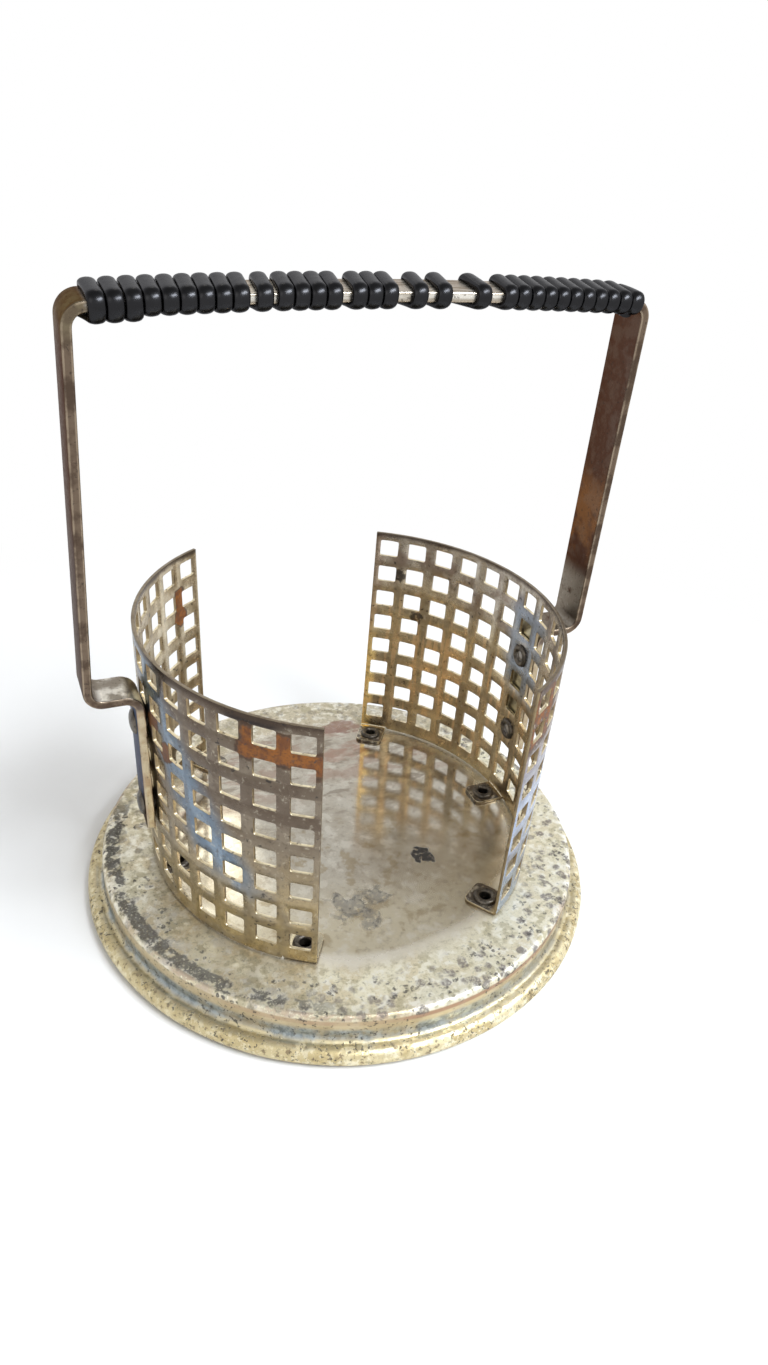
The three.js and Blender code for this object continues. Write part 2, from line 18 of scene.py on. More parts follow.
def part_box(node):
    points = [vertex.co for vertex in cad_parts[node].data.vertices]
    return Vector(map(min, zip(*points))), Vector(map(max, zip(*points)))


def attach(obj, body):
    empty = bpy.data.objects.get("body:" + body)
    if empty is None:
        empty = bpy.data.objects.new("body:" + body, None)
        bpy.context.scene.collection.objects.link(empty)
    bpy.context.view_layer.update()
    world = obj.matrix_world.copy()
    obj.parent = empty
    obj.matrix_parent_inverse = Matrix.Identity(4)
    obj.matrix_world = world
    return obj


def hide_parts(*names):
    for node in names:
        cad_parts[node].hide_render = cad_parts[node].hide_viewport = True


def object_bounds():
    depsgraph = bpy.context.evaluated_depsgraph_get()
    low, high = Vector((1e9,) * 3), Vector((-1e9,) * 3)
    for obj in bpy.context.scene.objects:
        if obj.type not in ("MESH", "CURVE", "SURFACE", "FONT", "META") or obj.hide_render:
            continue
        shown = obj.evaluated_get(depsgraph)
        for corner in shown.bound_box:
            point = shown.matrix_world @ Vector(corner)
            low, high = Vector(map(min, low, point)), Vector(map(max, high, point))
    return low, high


bl_info = {
    "name": "Coaster holder",
    "version": (1, 0, 0),
    "blender": (4, 5, 0),
    "location": "3D View > Sidebar > Coaster holder",
    "description": "Builds a tarnished, handled coaster holder and a plain studio round it",
    "category": "Object",
}

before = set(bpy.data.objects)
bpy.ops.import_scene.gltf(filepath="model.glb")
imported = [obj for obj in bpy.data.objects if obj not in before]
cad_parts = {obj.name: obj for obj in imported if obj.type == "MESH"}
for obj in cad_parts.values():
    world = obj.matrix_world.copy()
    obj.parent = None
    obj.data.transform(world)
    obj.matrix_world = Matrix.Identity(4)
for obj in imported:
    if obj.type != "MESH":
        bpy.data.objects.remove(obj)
CAD_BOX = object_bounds()
MM = 0.001
BODY = "root"
SIDES = {"left": -1, "right": 1}
TAB_ENDS = {"front": -1, "middle": 0, "back": 1}
# Rows of holes, counted from the top, that the strap's rivets go through.
RIVET_ROWS = {"upper": 2, "lower": 5}
TINY = 1e-9


def length(name, description, default_mm):
    """A size property, with its default in millimetres."""
    return FloatProperty(
        name=name, description=description, default=default_mm * MM, unit="LENGTH", precision=5
    )


def angle(name, description, degrees):
    """An angle property, with its default in degrees."""
    return FloatProperty(
        name=name, description=description, default=math.radians(degrees), subtype="ANGLE"
    )


def colour(name, description, red, green, blue):
    """A colour property, in linear values."""
    return FloatVectorProperty(
        name=name, description=description, default=(red, green, blue), subtype="COLOR", min=0, max=1
    )


def count(name, description, default):
    """A whole-number property."""
    return IntProperty(name=name, description=description, default=default, min=1)


class DishSizes(bpy.types.PropertyGroup):
    """The pressed dish and its curled rim."""

    rim_radius: length("Rim radius", "Furthest reach of the rim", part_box("dish")[1].x / MM)
    floor_height: length("Floor height", "Top of the flat floor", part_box("dish")[1].z / MM)
    rim_width: length("Rim width", "From the upright wall out to the rim's reach", 4.2)
    roll: length("Rim curl", "Radius of the curled rim", 2.3)
    foot_cut: length("Foot cut", "How much of the curl is rubbed flat underneath", 0.1)
    sheet: length("Sheet", "Thickness of the dish's sheet", 0.9)
    shoulder: length("Shoulder", "Inside round between floor and wall", 0.4)
    cove: length("Hollow", "Radius of the hollow between wall and rim", 1.7)
    cove_blend: length("Hollow blend", "How deep hollow and curl run into each other", 0.2)
    floor_dip: length("Floor dips", "Depth of the floor's soft dips", 0.09)
    rim_dip: length("Rim dips", "Depth of the rim's small knocks", 0.12)


class GallerySizes(bpy.types.PropertyGroup):
    """The perforated galleries and their tabs."""

    cage_radius: length("Cage radius", "From the axis to the middle of the sheet", 48)
    sheet: length("Sheet", "Thickness of the galleries' sheet", 0.8)
    lift: length("Lift", "The sheet's lower edge above the floor", 0.4)
    columns: count("Columns", "Columns of holes", 13)
    rows: count("Rows", "Rows of holes", 8)
    hole_width: length("Hole width", "Width of a hole", 5.04)
    hole_height: length("Hole height", "Height of a hole", 4.5)
    hole_corner: length("Hole corner", "Corner radius of a hole", 0.5)
    column_pitch: length("Column pitch", "From one column to the next", 7.95)
    row_pitch: length("Row pitch", "From one row to the next", 7.66)
    top_margin: length("Top margin", "Metal above the top row", 2.1)
    bottom_margin: length("Bottom margin", "Metal below the bottom row", 3.85)
    end_margin: length("End margin", "Metal beside the end columns", 1.3)
    left_flatter: length("Left flatter", "How much the left bend exceeds the cage's", 1.8)
    right_flatter: length("Right flatter", "How much the right bend exceeds the cage's", 0.9)
    left_turn: angle("Left turn", "Turn of the left gallery about its middle", 2.5)
    right_turn: angle("Right turn", "Turn of the right gallery about its middle", 0)
    left_lean: angle("Left lean", "Outward lean of the left gallery", 0.6)
    right_lean: angle("Right lean", "Outward lean of the right gallery", 0.75)
    tab_width: length("Tab width", "Width of a tab on the floor", 7.64)
    tab_corner: length("Tab corner", "Round of a tab's tip", 1.6)
    tab_bend: length("Tab bend", "Bend between wall and tab, at the sheet's middle", 0.8)
    eyelet_inset: length("Eyelet inset", "From the sheet in to the eyelet's axis", 4.7)
    tab_tip: length("Tab tip", "From the eyelet's axis to the tab's tip", 4.1)
    edge_round: length("Edge round", "Wear of the cut edges", 0.11)
    waviness: length("Waviness", "How far the sheet is out of true", 0.16)
    raggedness: length("Raggedness", "How far the holes' edges are out of true", 0.13)


class FastenerSizes(bpy.types.PropertyGroup):
    """Eyelets through the tabs and rivets through the strap."""

    barrel: length("Barrel", "Radius of a barrel", 2.0)
    wall: length("Hollow wall", "Wall of a hollow barrel", 0.65)
    head_lip: length("Head lip", "How far a head reaches out from its barrel", 1.0)
    head_height: length("Head height", "Height of a rolled head", 0.7)
    clinch_lip: length("Clinch lip", "How far a clinched foot reaches out", 0.7)
    clinch_height: length("Clinch height", "Height of a clinched foot", 0.5)
    dome_height: length("Dome height", "Height of a rivet's domed head", 1.1)
    hole_clearance: length("Hole clearance", "Play round a barrel", 0.2)
    seat_gap: length("Seat gap", "Play under a head", 0.05)
    unevenness: length("Unevenness", "How far a rolled head is out of round", 0.14)


class StrapSizes(bpy.types.PropertyGroup):
    """The flat bar that is bent into the handle."""

    width: length("Width", "Width of the bar", 9.6)
    thickness: length("Thickness", "Thickness of the bar", 1.9)
    edge_round: length("Edge round", "Round of the bar's long edges", 0.38)
    gap: length("Gap", "Between the bar and a gallery", 0.3)
    tail: length("Tail", "From the lower rivet down to the end", 4.5)
    shelf_drop: length("Shelf drop", "From the galleries' top to the top of the level run", 10.4)
    shelf_length: length("Shelf length", "From the galleries' sheet to the outside of the leg", 13.75)
    draw_in: length("Draw-in", "How much nearer to the axis the leg is at the top", 3.2)
    grip_rise: length("Grip rise", "From the galleries' top to the middle of the top bar", 68.73)
    arch: length("Arch", "Rise of the bar's middle", 1.6)
    lean: length("Lean", "How far the bar stands to the front", 5.7)
    shelf_bend: length("Shelf bend", "Bend at both ends of the level run", 3.2)
    corner_bend: length("Corner bend", "Bend at the top corners", 3.6)


class CaneSizes(bpy.types.PropertyGroup):
    """The half-round strip that is wound round the top bar."""

    width: length("Width", "Width of the strip", 3.0)
    thickness: length("Thickness", "Thickness of the strip", 1.15)
    seat: length("Seat", "Between the strip and the bar below", 0.20)
    stand_off: length("Stand-off", "How much further off the bar it stands on top and at the edges", 0.12)
    pitch: length("Pitch", "From one turn to the next", 2.99)
    turns: count("Turns", "Turns from end to end", 31)
    inset: length("Inset", "From the left leg's middle to the first turn's front", 4.9)
    advance: length("Advance", "How far a late turn moves on over the top", 2.6)
    slip: length("Slip", "How far a turn lies out of step", 0.12)
    tuck: length("Tuck", "How far the first turns bulge over the strip's own start", 0.7)
    tail: length("Tail", "How far below the last turns the strip's end lies", 1.0)


class StageSizes(bpy.types.PropertyGroup):
    """The camera, the floor and the lamps."""

    lens: FloatProperty(name="Lens", description="Focal length", default=24.34, unit="CAMERA")
    camera_azimuth: angle("Camera azimuth", "Direction that the camera looks in", -25.899)
    camera_elevation: angle("Camera elevation", "How far it looks down", 31.8)
    camera_roll: angle("Camera roll", "Turn about its line of sight", 4.678)
    camera_place: FloatVectorProperty(
        name="Camera place",
        description="Where the camera stands",
        default=(-74.97 * MM, -173.64 * MM, 174.88 * MM),
        subtype="TRANSLATION",
    )
    floor_colour: colour("Floor", "Colour of the floor", 0.93, 0.93, 0.925)
    fade_start: length("Fade start", "Where the floor starts to fade to white", 95)
    fade_end: length("Fade end", "Where the floor is white", 240)
    key_power: FloatProperty(name="Key", description="Power of the main lamp, in watts", default=0.5)
    fill_power: FloatProperty(name="Fill", description="Power of the fill lamp, in watts", default=0.2)
    back_power: FloatProperty(name="Back", description="Power of the rear lamp, in watts", default=0.12)
    glint_power: FloatProperty(name="Glint", description="Power of the glints' lamp, in watts", default=10.0)
    ambient: FloatProperty(name="Ambient", description="Strength of the room's own light", default=0.55)


class Finishes(bpy.types.PropertyGroup):
    """The main colours of metal and cane."""

    plate: colour("Plate", "Yellowed silver plate", 0.84, 0.79, 0.61)
    bright_plate: colour("Bright plate", "Plate that is still light", 0.93, 0.90, 0.78)
    grey_plate: colour("Dull plate", "Silver plate that has greyed", 0.70, 0.665, 0.53)
    olive: colour("Olive", "Fine olive-grey mottling", 0.20, 0.185, 0.115)
    satin: colour("Satin plate", "Rubbed floor between the galleries", 0.50, 0.455, 0.375)
    pits: colour("Pits", "Dark corroded pits", 0.042, 0.038, 0.036)
    soft_pits: colour("Soft pits", "Shallow purple-grey pits", 0.125, 0.105, 0.10)
    blush: colour("Blush", "Pink tarnish", 0.34, 0.205, 0.15)
    gold: colour("Gold", "Gold-brown tarnish", 0.46, 0.36, 0.20)
    taupe: colour("Taupe", "Brown-grey tarnish", 0.145, 0.112, 0.085)
    rust: colour("Rust", "Orange rust", 0.26, 0.086, 0.008)
    dark_rust: colour("Dark rust", "Older, darker rust", 0.125, 0.040, 0.010)
    # Where the cut edges face up this colour stands as a painted highlight.
    cut_edge: colour("Cut edge", "Bright cut edges", 0.86, 0.76, 0.54)
    strap: colour("Strap", "Browned strap", 0.15, 0.115, 0.095)
    copper: colour("Copper", "Copper-brown where the plate is thin", 0.078, 0.038, 0.026)
    bare: colour("Bare bar", "Bare brushed bar under the cane", 0.82, 0.79, 0.72)
    dark_eyelet: colour("Eyelet", "Dark eyelet metal", 0.07, 0.062, 0.053)
    cane: colour("Cane", "Black plastic", 0.031, 0.031, 0.033)


# Shapes shared by several pieces


def arc(cx, cy, radius, start, end, steps, rise=None):
    """Points on an arc between two angles in degrees, both ends included; rise makes it an ellipse."""
    rise = radius if rise is None else rise
    turns = [math.radians(start + (end - start) * i / steps) for i in range(steps + 1)]
    return [(cx + radius * math.cos(t), cy + rise * math.sin(t)) for t in turns]


def turned(profile, steps):
    """Vertices and faces of a (radius, height) outline turned about Z; on the axis a point is single."""
    verts, rows = [], []
    for radius, height in profile:
        if radius < TINY:
            rows.append([len(verts)] * steps)
            verts.append((0, 0, height))
            continue
        rows.append([len(verts) + k for k in range(steps)])
        for k in range(steps):
            turn = 2 * math.pi * k / steps
            verts.append((radius * math.cos(turn), radius * math.sin(turn), height))
    faces = []
    for lower, upper in zip(rows, rows[1:] + rows[:1]):
        for k in range(steps):
            m = (k + 1) % steps
            corners = list(dict.fromkeys([lower[k], lower[m], upper[m], upper[k]]))
            if len(corners) > 2:
                faces.append(corners)
    return verts, faces


def swept(rings):
    """Vertices and faces of a closed tube through rings of points, with its two ends capped."""
    sides = len(rings[0])
    verts = [tuple(point) for ring in rings for point in ring]
    faces = []
    for i in range(len(rings) - 1):
        for k in range(sides):
            m = (k + 1) % sides
            base, following = i * sides, (i + 1) * sides
            faces.append([base + k, base + m, following + m, following + k])
    faces.append(list(range(sides)))
    faces.append([(len(rings) - 1) * sides + k for k in range(sides)])
    return verts, faces


def new_object(name, verts, faces, weld=0.0):
    """A mesh object whose faces point out, linked to the scene."""
    mesh = bpy.data.meshes.new(name)
    mesh.from_pydata(verts, [], faces)
    made = bpy.data.objects.new(name, mesh)
    bpy.context.scene.collection.objects.link(made)
    work = bmesh.new()
    work.from_mesh(mesh)
    if weld:
        bmesh.ops.remove_doubles(work, verts=work.verts, dist=weld)
    bmesh.ops.recalc_face_normals(work, faces=work.faces)
    work.to_mesh(mesh)
    work.free()
    return made


def settle(made):
    """Turns an object's modifiers into its mesh."""
    bpy.context.view_layer.update()
    seen = made.evaluated_get(bpy.context.evaluated_depsgraph_get())
    mesh = bpy.data.meshes.new_from_object(seen)
    made.modifiers.clear()
    old = made.data
    made.data = mesh
    bpy.data.meshes.remove(old)


def dress(made, replaced, materials, sharp_degrees=38):
    """Rides a finished piece on the body, hides the parts that it stands for, shades it, and gives it its
    materials.
    """
    for material in materials:
        made.data.materials.append(material)
    made.data.shade_smooth()
    made.data.set_sharp_from_angle(angle=math.radians(sharp_degrees))
    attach(made, BODY)
    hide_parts(*replaced)
    return made


def soft_noise(x, y, z=0.0):
    """Smooth noise from 0 to 1."""
    return 0.5 + 0.5 * noise.noise(Vector((x, y, z)))


def coordinates(mesh):
    """The mesh's vertices as an array."""
    flat = np.empty(len(mesh.vertices) * 3)
    mesh.vertices.foreach_get("co", flat)
    return flat.reshape(-1, 3)


def store_place(mesh, name, values):
    """Keeps three numbers for each vertex, which the materials read."""
    attribute = mesh.attributes.new(name, "FLOAT_VECTOR", "POINT")
    attribute.data.foreach_set("vector", np.asarray(values, dtype=np.float32).ravel())


# The galleries' geometry, which the strap and the fasteners follow


class Gallery:
    """One gallery: where a point of its sheet is, and where its rivets and tabs are."""

    def __init__(self, name):
        sizes = bpy.context.scene.holder_gallery
        self.name = name
        self.side = SIDES[name]
        self.sizes = sizes
        self.bend = sizes.cage_radius + getattr(sizes, f"{name}_flatter")
        self.lean = getattr(sizes, f"{name}_lean")
        self.facing = (0 if self.side > 0 else math.pi) + getattr(sizes, f"{name}_turn")
        self.floor = bpy.context.scene.holder_dish.floor_height
        self.foot = self.floor + sizes.lift
        rows_height = (sizes.rows - 1) * sizes.row_pitch + sizes.hole_height
        self.top = self.foot + sizes.bottom_margin + rows_height + sizes.top_margin
        self.end_column = (sizes.columns - 1) / 2 * sizes.column_pitch
        self.half_arc = self.end_column + sizes.hole_width / 2 + sizes.end_margin

    def at(self, along, height, outside=0.0):
        """The place at an arc length from the middle, a height, and a distance outside the sheet's middle."""
        turn = self.facing + along / self.bend
        leaning = (height - self.floor) * math.tan(self.lean)
        reach = self.bend + outside
        return Vector((
            self.side * self.sizes.cage_radius
            + (leaning - self.bend) * math.cos(self.facing)
            + reach * math.cos(turn),
            (leaning - self.bend) * math.sin(self.facing) + reach * math.sin(turn),
            height,
        ))

    def sheet_places(self, points):
        """(arc length, height, distance outside the sheet's middle) of each point, in millimetres."""
        leaning = (points[:, 2] - self.floor) * math.tan(self.lean)
        x = points[:, 0] - self.side * self.sizes.cage_radius
        x -= (leaning - self.bend) * math.cos(self.facing)
        y = points[:, 1] - (leaning - self.bend) * math.sin(self.facing)
        turn = np.arctan2(y, x) - self.facing
        turn = (turn + math.pi) % (2 * math.pi) - math.pi
        outside = np.hypot(x, y) - self.bend
        return np.stack([turn * self.bend, points[:, 2], outside], axis=1) / MM

    def rivet_height(self, row):
        """Height of a row of holes' middle, counted from the top."""
        sizes = self.sizes
        return self.top - sizes.top_margin - row * sizes.row_pitch - sizes.hole_height / 2

    def outer_face(self, height):
        """How far the sheet's outer face stands from the axis at its middle."""
        return abs(self.at(0, height, self.sizes.sheet / 2).x)

    def tab_along(self, end):
        """Arc length at which a tab's middle lies."""
        return TAB_ENDS[end] * self.side * self.end_column

    def inward(self, along):
        """The direction towards the inside at an arc length."""
        turn = self.facing + along / self.bend
        return Vector((-math.cos(turn), -math.sin(turn), 0))

    def eyelet(self, end):
        """The place on the floor of a tab's eyelet."""
        along = self.tab_along(end)
        return self.at(along, self.floor) + self.inward(along) * self.sizes.eyelet_inset


def both_galleries():
    """The left and the right gallery."""
    return [Gallery(name) for name in SIDES]


# The dish


def crossing(lower, lower_radius, upper, upper_radius):
    """Where two round sections cross, towards the axis: the angle in degrees about each centre."""
    lower, upper = Vector(lower), Vector(upper)
    distance = (upper - lower).length
    to_line = (distance**2 + lower_radius**2 - upper_radius**2) / (2 * distance)
    off_line = math.sqrt(lower_radius**2 - to_line**2)
    ahead = (upper - lower) / distance
    point = lower + ahead * to_line + Vector((-ahead.y, ahead.x)) * off_line
    return [math.degrees(math.atan2(*(point - centre).yx)) % 360 for centre in (lower, upper)]


def dish_profile(sizes):
    """The sheet's section from the axis over the floor, wall and hollow, round the curl and back."""
    wall = sizes.rim_radius - sizes.rim_width
    roll = (sizes.rim_radius - sizes.roll, sizes.roll - sizes.foot_cut)
    cove_x = wall + sizes.cove
    reach = sizes.roll + sizes.cove - sizes.cove_blend
    cove = (cove_x, roll[1] + math.sqrt(reach**2 - (roll[0] - cove_x) ** 2))
    shoulder = sizes.shoulder + sizes.sheet
    shoulder_x, shoulder_z = wall - shoulder, sizes.floor_height - shoulder
    roll_outer, cove_outer = crossing(roll, sizes.roll, cove, sizes.cove)
    hollow_roll = sizes.roll - sizes.sheet
    roll_inner, cove_inner = crossing(roll, hollow_roll, cove, sizes.cove + sizes.sheet)
    curl_end = -200
    floor_rings = 14
    rings = [shoulder_x * i / floor_rings for i in range(floor_rings)]
    upper = [(r, sizes.floor_height) for r in rings]
    upper += arc(shoulder_x, shoulder_z, shoulder, 90, 0, 8)
    upper += arc(*cove, sizes.cove, 180, cove_outer, 8)
    upper += arc(*roll, sizes.roll, roll_outer, curl_end, 40)[1:]
    lower = arc(*roll, hollow_roll, curl_end, roll_inner, 30)
    lower += arc(*cove, sizes.cove + sizes.sheet, cove_inner, 180, 6)[1:]
    lower += arc(shoulder_x, shoulder_z, sizes.shoulder, 0, 90, 4)
    lower += [(r, sizes.floor_height - sizes.sheet) for r in reversed(rings)]
    return [(r, max(z, 0.0)) for r, z in upper + lower]


# How fine the knocks and dips are: the noise's steps to a metre, round the rim, up it, and on the floor.
RIM_KNOCKS = 90
RIM_KNOCKS_UP = 150
FLOOR_DIPS = 45
DISH_STEPS = 288
HOLE_STEPS = 40


def knock_dish(made, sizes):
    """Gives the dish its soft dips and the rim its small knocks."""
    rim_from = sizes.rim_radius - 2 * sizes.rim_width
    for vertex in made.data.vertices:
        x, y, z = vertex.co
        radius = math.hypot(x, y)
        near_rim = min(1.0, max(0.0, (radius - rim_from) / sizes.rim_width))
        dip = sizes.rim_dip * near_rim * soft_noise(x * RIM_KNOCKS, y * RIM_KNOCKS, z * RIM_KNOCKS_UP)
        shrink = 1 - dip / max(radius, sizes.rim_width)
        flat = max(0.0, 1 - near_rim)
        drop = sizes.floor_dip * flat * soft_noise(x * FLOOR_DIPS, y * FLOOR_DIPS)
        vertex.co = (x * shrink, y * shrink, z - drop)


def cut_round_holes(made, places, radius, low, high):
    """Cuts upright round holes through a sheet."""
    verts, faces = [], []
    for place in places:
        ring, sides = turned([(0, low), (radius, low), (radius, high), (0, high)], HOLE_STEPS)
        start = len(verts)
        verts += [(x + place.x, y + place.y, z) for x, y, z in ring]
        faces += [[start + corner for corner in side] for side in sides]
    cutter = new_object("hole_cutter", verts, faces)
    modifier = made.modifiers.new("holes", "BOOLEAN")
    modifier.operation = "DIFFERENCE"
    modifier.solver = "EXACT"
    modifier.object = cutter
    settle(made)
    mesh = cutter.data
    bpy.data.objects.remove(cutter)
    bpy.data.meshes.remove(mesh)


class HOLDER_OT_dish(bpy.types.Operator):
    """Builds the pressed dish with its curled rim and six eyelet holes"""

    bl_idname = "holder.dish"
    bl_label = "Dish"

    def execute(self, context):
        sizes = context.scene.holder_dish
        fasteners = context.scene.holder_fasteners
        made = new_object("dish_pressing", *turned(dish_profile(sizes), DISH_STEPS))
        knock_dish(made, sizes)
        places = [g.eyelet(end) for g in both_galleries() for end in TAB_ENDS]
        radius = fasteners.barrel + fasteners.hole_clearance
        below = sizes.floor_height - 3 * sizes.sheet
        above = sizes.floor_height + 3 * sizes.sheet
        cut_round_holes(made, places, radius, below, above)
        dress(made, ["dish"], [dish_plate()])
        return {"FINISHED"}


# The galleries

CELL_SHARES = (0, 0.12, 0.26, 0.5, 0.74, 0.88, 1)
BEND_STEPS = 6
# How fine the sheet's waves are, in the noise's steps to a metre, and how far up the foot holds it straight.
WAVES_ALONG = 42
WAVES_UP = 34
WAVES_APART = 7.0
HELD_STRAIGHT = 12 * MM
# How fine the holes' ragged edges are, and how far apart their two directions are drawn.
BURRS = 900
BURRS_APART = 5.0
SLIT = 0.3 * MM
WELD = 0.02 * MM
# From this cosine on a face belongs to the outside or inside, and up to this height, in millimetres above
# the floor, a level face belongs to a tab.
FACE_COSINE = 0.85
LEVEL_COSINE = 0.95
TAB_REACHES = 2


def rectangle_ring(x0, x1, y0, y1):
    """Points round a cell, six to a side, from its lower left corner anticlockwise."""
    across = [x0 + (x1 - x0) * share for share in CELL_SHARES]
    up = [y0 + (y1 - y0) * share for share in CELL_SHARES]
    ring = [(x, y0) for x in across[:-1]]
    ring += [(x1, y) for y in up[:-1]]
    ring += [(x, y1) for x in reversed(across[1:])]
    ring += [(x0, y) for y in reversed(up[1:])]
    return ring


def hole_ring(cx, cy, width, height, corner):
    """Points round a hole with round corners, six to a side, in step with a cell's ring."""
    reach_x, reach_y = width / 2 - corner, height / 2 - corner
    spots = [(-1, -1, 225), (1, -1, 315), (1, 1, 45), (-1, 1, 135)]
    ring = []
    for (sx, sy, turn), (nx, ny, _) in zip(spots, spots[1:] + spots[:1]):
        here = (cx + sx * reach_x, cy + sy * reach_y)
        there = (cx + nx * reach_x, cy + ny * reach_y)
        ring += arc(*here, corner, turn, turn + 45, 2)
        middle_x, middle_y = (here[0] + there[0]) / 2, (here[1] + there[1]) / 2
        outward = math.radians(turn + 45)
        ring.append((middle_x + corner * math.cos(outward), middle_y + corner * math.sin(outward)))
        ring += arc(*there, corner, turn + 45, turn + 90, 2)[:-1]
    return ring


class SheetMesh:
    """Collects the faces of a gallery's middle surface."""

    def __init__(self, gallery):
        self.gallery = gallery
        self.verts = []
        self.faces = []

    def on_sheet(self, along, height):
        """A point of the standing sheet, a little out of true."""
        sizes = self.gallery.sizes
        wave = soft_noise(along * WAVES_ALONG, height * WAVES_UP, self.gallery.side * WAVES_APART) - 0.5
        settle_in = min(1.0, (height - self.gallery.foot) / HELD_STRAIGHT)
        return self.gallery.at(along, height, 2 * sizes.waviness * wave * max(0.0, settle_in))

    def add(self, points):
        """Adds points and returns their numbers."""
        start = len(self.verts)
        self.verts += [tuple(point) for point in points]
        return list(range(start, len(self.verts)))

    def between(self, outer, inner):
        """Joins two closed rings that have as many points."""
        a, b = self.add(outer), self.add(inner)
        for k in range(len(a)):
            m = (k + 1) % len(a)
            self.faces.append([a[k], a[m], b[m], b[k]])

    def strip(self, rows):
        """Joins open rows of points."""
        numbered = [self.add(row) for row in rows]
        for low, high in zip(numbered, numbered[1:]):
            for k in range(len(low) - 1):
                self.faces.append([low[k], low[k + 1], high[k + 1], high[k]])


def ragged(x, y, amount):
    """A point moved a little, as a worn punch leaves an edge."""
    return (
        x + amount * (soft_noise(x * BURRS, y * BURRS) - 0.5),
        y + amount * (soft_noise(y * BURRS, x * BURRS, BURRS_APART) - 0.5),
    )


def add_perforated_wall(sheet):
    """The standing sheet: one cell round each hole."""
    gallery, sizes = sheet.gallery, sheet.gallery.sizes
    half_pitch = sizes.column_pitch / 2
    between = (sizes.row_pitch - sizes.hole_height) / 2
    low_line = gallery.foot + sizes.tab_bend
    for column in range(sizes.columns):
        middle = column * sizes.column_pitch - gallery.end_column
        x0 = -gallery.half_arc if column == 0 else middle - half_pitch
        x1 = gallery.half_arc if column == sizes.columns - 1 else middle + half_pitch
        for row in range(sizes.rows):
            cy = gallery.rivet_height(row)
            y1 = gallery.top if row == 0 else cy + sizes.hole_height / 2 + between
            y0 = low_line if row == sizes.rows - 1 else cy - sizes.hole_height / 2 - between
            outer = [sheet.on_sheet(*point) for point in rectangle_ring(x0, x1, y0, y1)]
            hole = hole_ring(middle, cy, sizes.hole_width, sizes.hole_height, sizes.hole_corner)
            inner = [sheet.on_sheet(*ragged(*point, sizes.raggedness)) for point in hole]
            sheet.between(outer, inner)
        cell = [x0 + (x1 - x0) * share for share in CELL_SHARES]
        tab = next((end for end in TAB_ENDS if abs(gallery.tab_along(end) - middle) < TINY), None)
        if tab is None:
            add_foot(sheet, cell, low_line)
        else:
            add_tab(sheet, cell, middle, low_line)


def add_foot(sheet, cell, low_line):
    """The sheet's lower edge below a column without a tab, with a slit beside each tab."""
    gallery = sheet.gallery
    pitch = gallery.sizes.column_pitch
    lowest = list(cell)
    for end in TAB_ENDS:
        distance = (cell[0] + cell[-1]) / 2 - gallery.tab_along(end)
        if abs(abs(distance) - pitch) < SLIT:
            lowest[0 if distance > 0 else -1] += math.copysign(SLIT, distance)
    sheet.strip([
        [sheet.on_sheet(x, gallery.foot) for x in lowest],
        [sheet.on_sheet(x, low_line) for x in cell],
    ])


def add_tab(sheet, cell, middle, low_line):
    """A tab: the sheet bends in below its column and lies on the floor, with the eyelet's hole."""
    gallery, sizes = sheet.gallery, sheet.gallery.sizes
    inward = gallery.inward(middle)
    sideways = Vector((inward.y, -inward.x, 0))
    half = sizes.tab_width / 2
    rows = []
    for step in range(BEND_STEPS + 1):
        done = step / BEND_STEPS
        turn = math.radians(90 * done)
        row = []
        for share, x in zip(CELL_SHARES, cell):
            narrowed = x + (middle + half * (2 * share - 1) - x) * done
            point = gallery.at(narrowed, low_line)
            point += inward * sizes.tab_bend * (1 - math.cos(turn))
            point.z -= sizes.tab_bend * math.sin(turn)
            row.append(point)
        rows.append(row)
    sheet.strip(rows[::-1])
    level = low_line - sizes.tab_bend
    root = gallery.at(middle, level)
    tip = sizes.eyelet_inset + sizes.tab_tip

    def on_floor(across, depth):
        return root + sideways * across + inward * depth

    corner = sizes.tab_corner
    first, last = rows[-1][0], rows[-1][-1]
    start_depth = (last - root).dot(inward)
    side = [start_depth + (tip - corner - start_depth) * share for share in (0, 1 / 3, 2 / 3, 1)]
    right = [on_floor(half, depth) for depth in side]
    right[0] = last
    corner_depth = tip - corner
    corner_in = half - corner
    round_right = [
        on_floor(corner_in + c, corner_depth + d) for c, d in arc(0, 0, corner, 0, 90, 6)
    ]
    round_left = [
        on_floor(-corner_in - c, corner_depth + d) for c, d in arc(0, 0, corner, 90, 0, 6)
    ]
    left = [on_floor(-half, depth) for depth in reversed(side)]
    left[-1] = first
    outline = rows[-1][:-1] + right[:-1] + round_right + round_left + left[1:-1]
    centre = on_floor(0, sizes.eyelet_inset)
    fasteners = bpy.context.scene.holder_fasteners
    hole = fasteners.barrel + fasteners.hole_clearance
    sheet.between(outline, [centre + (point - centre).normalized() * hole for point in outline])


def paint_sides(made, gallery):
    """Splits a gallery's faces among outside, inside and cut edge, and keeps their places."""
    mesh = made.data
    places = gallery.sheet_places(coordinates(mesh))
    store_place(mesh, "sheet_place", places)
    for face in mesh.polygons:
        place = gallery.sheet_places(np.array([face.center]))[0]
        turn = gallery.facing + place[0] * MM / gallery.bend
        facing_out = face.normal.dot(Vector((math.cos(turn), math.sin(turn), 0)))
        on_tab = face.normal.z > LEVEL_COSINE and place[1] < gallery.floor / MM + TAB_REACHES
        if facing_out > FACE_COSINE:
            face.material_index = 0
        elif facing_out < -FACE_COSINE or on_tab:
            face.material_index = 1
        else:
            face.material_index = 2


